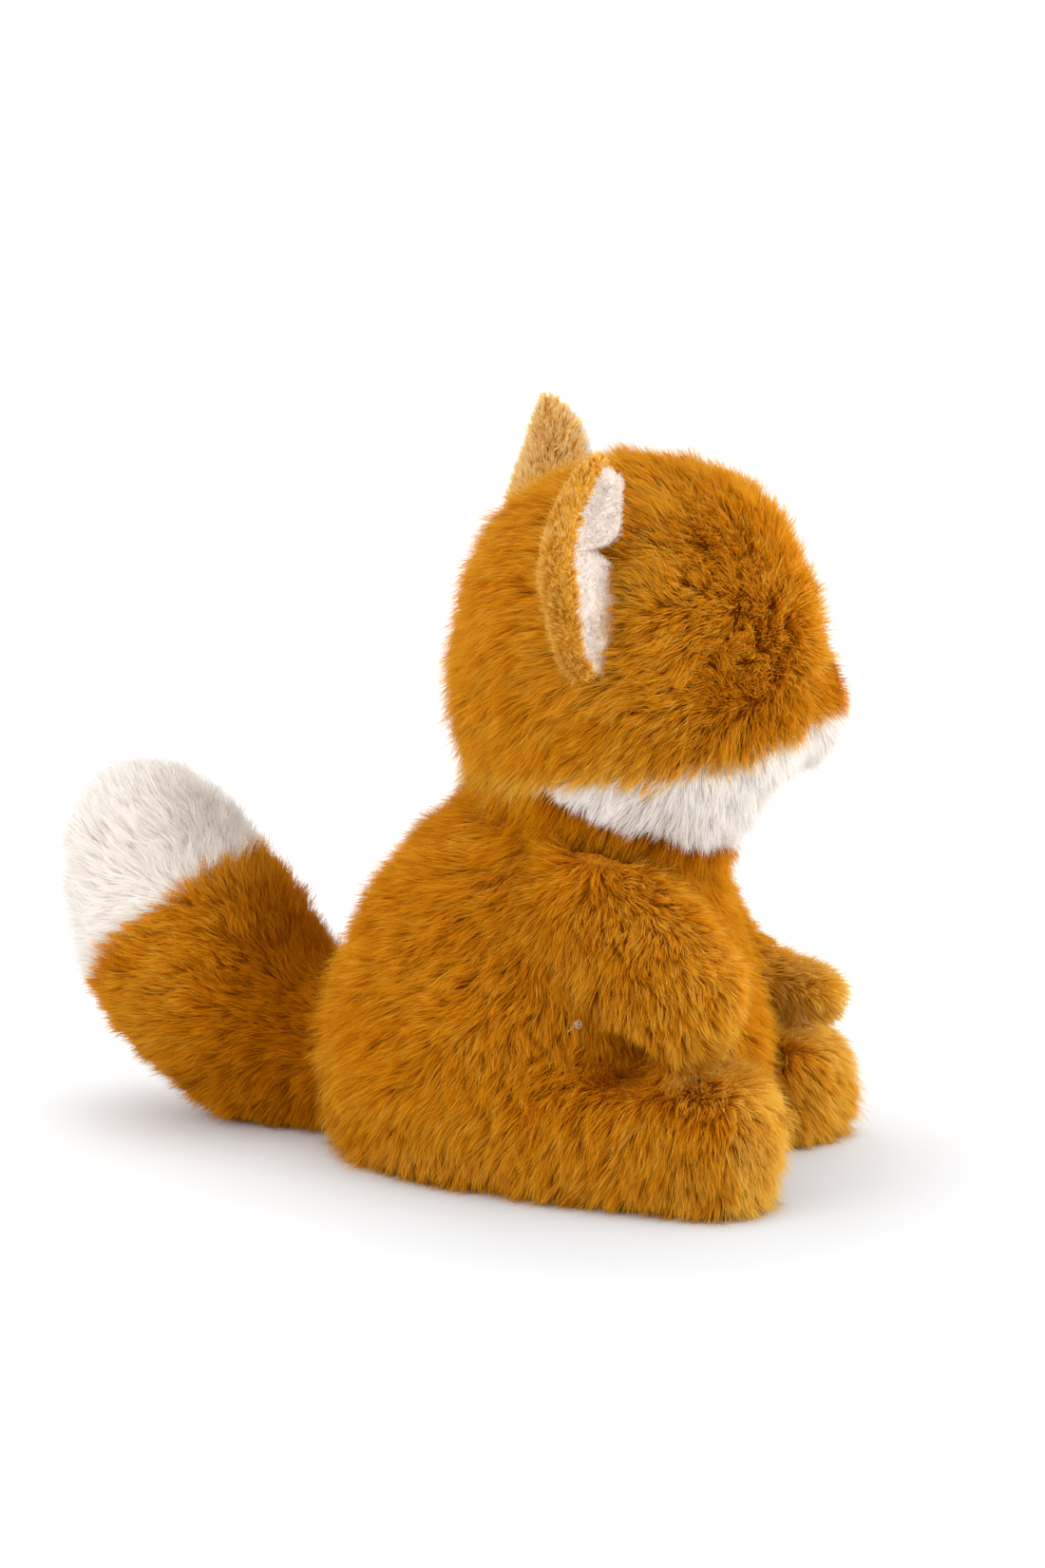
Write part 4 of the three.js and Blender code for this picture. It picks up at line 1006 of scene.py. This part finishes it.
for side, word in ((-1, "right"), (1, "left")):
    us = np.concatenate([np.linspace(0, 0.54, 28), np.linspace(0.545, 0.60, 12), np.linspace(0.61, 0.9, 16), np.linspace(0.91, 1.0, 9)])
    back_ring = [(0.05, 0.1), (0.02, -0.7), (0.03, -1.5)] + [(x, -2.0) for x in np.linspace(0.08, 0.92, 18)] + \
        [(0.985, -1.7), (1.015, -0.8), (1.01, 0.2), (0.98, 0.9), (0.93, 0.9)] + [(x, 0.15) for x in np.linspace(0.88, 0.12, 12)]
    wv, wf, wt, wn = ear_tube(side, back_ring, us)
    ob = make_mesh("ear_cover_" + word, wv, wf)
    ob.data.materials.append(EAR_SKIN)
    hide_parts("ear_back_" + word)
    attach(ob, "ear_" + word)
    # the lining is plump between its edges
    x = np.linspace(0, 1, 20)
    face = [(-0.03 + 0.97 * a, 0.35 + 2.1 * (max(0.0, 1 - abs(2 * a - 1) ** 3)) ** 0.5) for a in x]
    lining_ring = [(-0.015, -1.0), (-0.04, -0.5), (-0.05, 0.1)] + face + [(b, 0.0) for b in np.linspace(0.92, 0.06, 10)]
    top = 0.955 if side < 0 else 0.98      # the back's rim stands over the top of the lining
    us = np.concatenate([us[us < top - 0.10], np.linspace(top - 0.10, top, 11)])
    lv, lf, lt, ln = ear_tube(side, lining_ring, us, top, even=9)
    ob = make_mesh("ear_inside_" + word, lv, lf)
    ob.data.materials.append(LINING_SKIN)
    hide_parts("ear_lining_" + word)
    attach(ob, "ear_" + word)
    inner = signed(wv, (lv, lt, ln))
    flag = (inner > 0.3).astype(int)

    def ear_keep(p, n, c, side=side):
        q = to_head(p)
        base = (q[:, 2] > 2)
        return (c == 1) & base
    long = 3.0 if side < 0 else 4.2
    h = pile((wv, wt, wn, flag), 7.0, ear_look(side, long), 91 + side, width=0.2, locks=(5.0, 1.5), pull=(0.42, 0.30) if side < 0 else (0.3, 0.25), swirl=60 if side < 0 else 20,
             swirl_size=8, keep=ear_keep, wild=2.2 if side < 0 else 1.3, floor=False, weight=0.0, wild_out=0.3)
    emit("ear_pile_" + word, h, np.ones(len(h["shade"]), bool), "ear_" + word, EAR_PILE)
    h = pile((lv, lt, ln), 9.0, lining_look, 95 + side, width=0.17, locks=(9.0, 2.5), pull=(0.04, 0.06), swirl=6, swirl_size=14, floor=False, weight=0.0, wild=1.2, wild_out=0.0, rough=0.05)
    emit("lining_pile_" + word, h, np.ones(len(h["shade"]), bool), "ear_" + word, LINING_PILE)
    print("PILE ear", word, len(h["shade"]))


# ---------------------------------------------------------------- the knot that closes the side seam, with its short ends
def tube(path, radius, sides=7):
    path = np.asarray(path, float)
    tan = unit(np.gradient(path, axis=0))
    up = unit(np.cross(tan[0], [0.3, 0.5, 0.8]))
    rings = []
    for p, t in zip(path, tan):
        up = unit(up - t * (up @ t))
        side_v = np.cross(t, up)
        a = np.linspace(0, 2 * math.pi, sides, endpoint=False)
        rings.append(p + radius * (np.cos(a)[:, None] * up + np.sin(a)[:, None] * side_v))
    pts = np.concatenate(rings + [path[:1], path[-1:]])
    n = len(path)
    faces = [(i * sides + j, i * sides + (j + 1) % sides, (i + 1) * sides + (j + 1) % sides, (i + 1) * sides + j) for i in range(n - 1) for j in range(sides)]
    faces += [(n * sides, (j + 1) % sides, j) for j in range(sides)]
    faces += [(n * sides + 1, (n - 1) * sides + j, (n - 1) * sides + (j + 1) % sides) for j in range(sides)]
    return pts, faces


a = np.linspace(0, 2 * math.pi * 0.97, 90)
r = 1.0 + 0.42 * np.cos(3 * a)
knot = np.stack([-0.5 * np.sin(3 * a) - 0.9, r * np.cos(2 * a), r * np.sin(2 * a)], 1)
s = np.linspace(0, 1, 12)[1:, None]
tail_a = knot[-1] + s * np.array([-1.4, 1.6, -1.2]) + (s ** 2) * np.array([0.3, 0.6, -1.4])
tail_b = knot[0] + s * np.array([-1.6, -0.9, 0.9]) + (s ** 2) * np.array([0.2, -1.2, -0.6])
path = np.concatenate([tail_b[::-1], knot, tail_a]) * 0.9 + KNOT
kv, kf = tube(path, 0.17)
ob = make_mesh("seam_knot", kv, kf)
ob.data.materials.append(THREAD)
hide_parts("closing_knot")
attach(ob, "torso")

# ---------------------------------------------------------------- floor, light, camera
def add_light(name, place, target, size, power, colour=(1, 1, 1)):
    li = bpy.data.lights.new(name, "AREA")
    li.shape, li.size, li.energy, li.color = "DISK", size, power, colour
    ob = bpy.data.objects.new(name, li)
    ob.location = place
    ob.rotation_euler = (Vector(target) - Vector(place)).to_track_quat("-Z", "Y").to_euler()
    scene.collection.objects.link(ob)


def add_stage():
    fl = make_mesh("floor", np.array([[-30000, -30000, 0], [30000, -30000, 0], [30000, 30000, 0], [-30000, 30000, 0.0]]), [(0, 1, 2, 3)], smooth=False)
    m, nt, p, out = new_material("floor_with_painted_shadow")
    tc = nt.nodes.new("ShaderNodeTexCoord")
    far = nt.nodes.new("ShaderNodeVectorMath")
    far.operation = "LENGTH"
    off = nt.nodes.new("ShaderNodeVectorMath")
    off.operation = "SUBTRACT"
    off.inputs[1].default_value = (-0.07, -0.06, 0.0)
    nt.links.new(tc.outputs["Object"], off.inputs[0])
    nt.links.new(off.outputs[0], far.inputs[0])
    # painted shadow: the floor's colour is darker round the toy, centred a little in front of it on the camera's side,
    # and lighter away from it
    nt.links.new(ramp(nt, [(0.05, (0.57, 0.582, 0.592)), (0.24, (0.75, 0.757, 0.762)), (1.0, (0.9, 0.9, 0.9))], far.outputs["Value"]), p.inputs["Base Color"])
    p.inputs["Roughness"].default_value = 0.9
    p.inputs["Specular IOR Level"].default_value = 0.0
    fl.data.materials.append(m)
    w = bpy.data.worlds.new("world")
    scene.world = w
    w.use_nodes = True
    bg = w.node_tree.nodes["Background"]
    bg.inputs[0].default_value = (1.0, 1.0, 1.0, 1)
    bg.inputs[1].default_value = 1.36
    # a wide soft light above, and one on either side of the view
    add_light("top_light", (0.1, -0.1, 1.6), (0, 0, 0.1), 1.4, 3)
    add_light("left_light", (-1.45, 0.75, 0.7), (0, 0.05, 0.08), 1.2, 12.5)
    add_light("right_light", (-0.05, -1.45, 0.55), (0, -0.05, 0.08), 1.2, 16)


add_camera()
add_stage()
scene.view_settings.view_transform = "Standard"
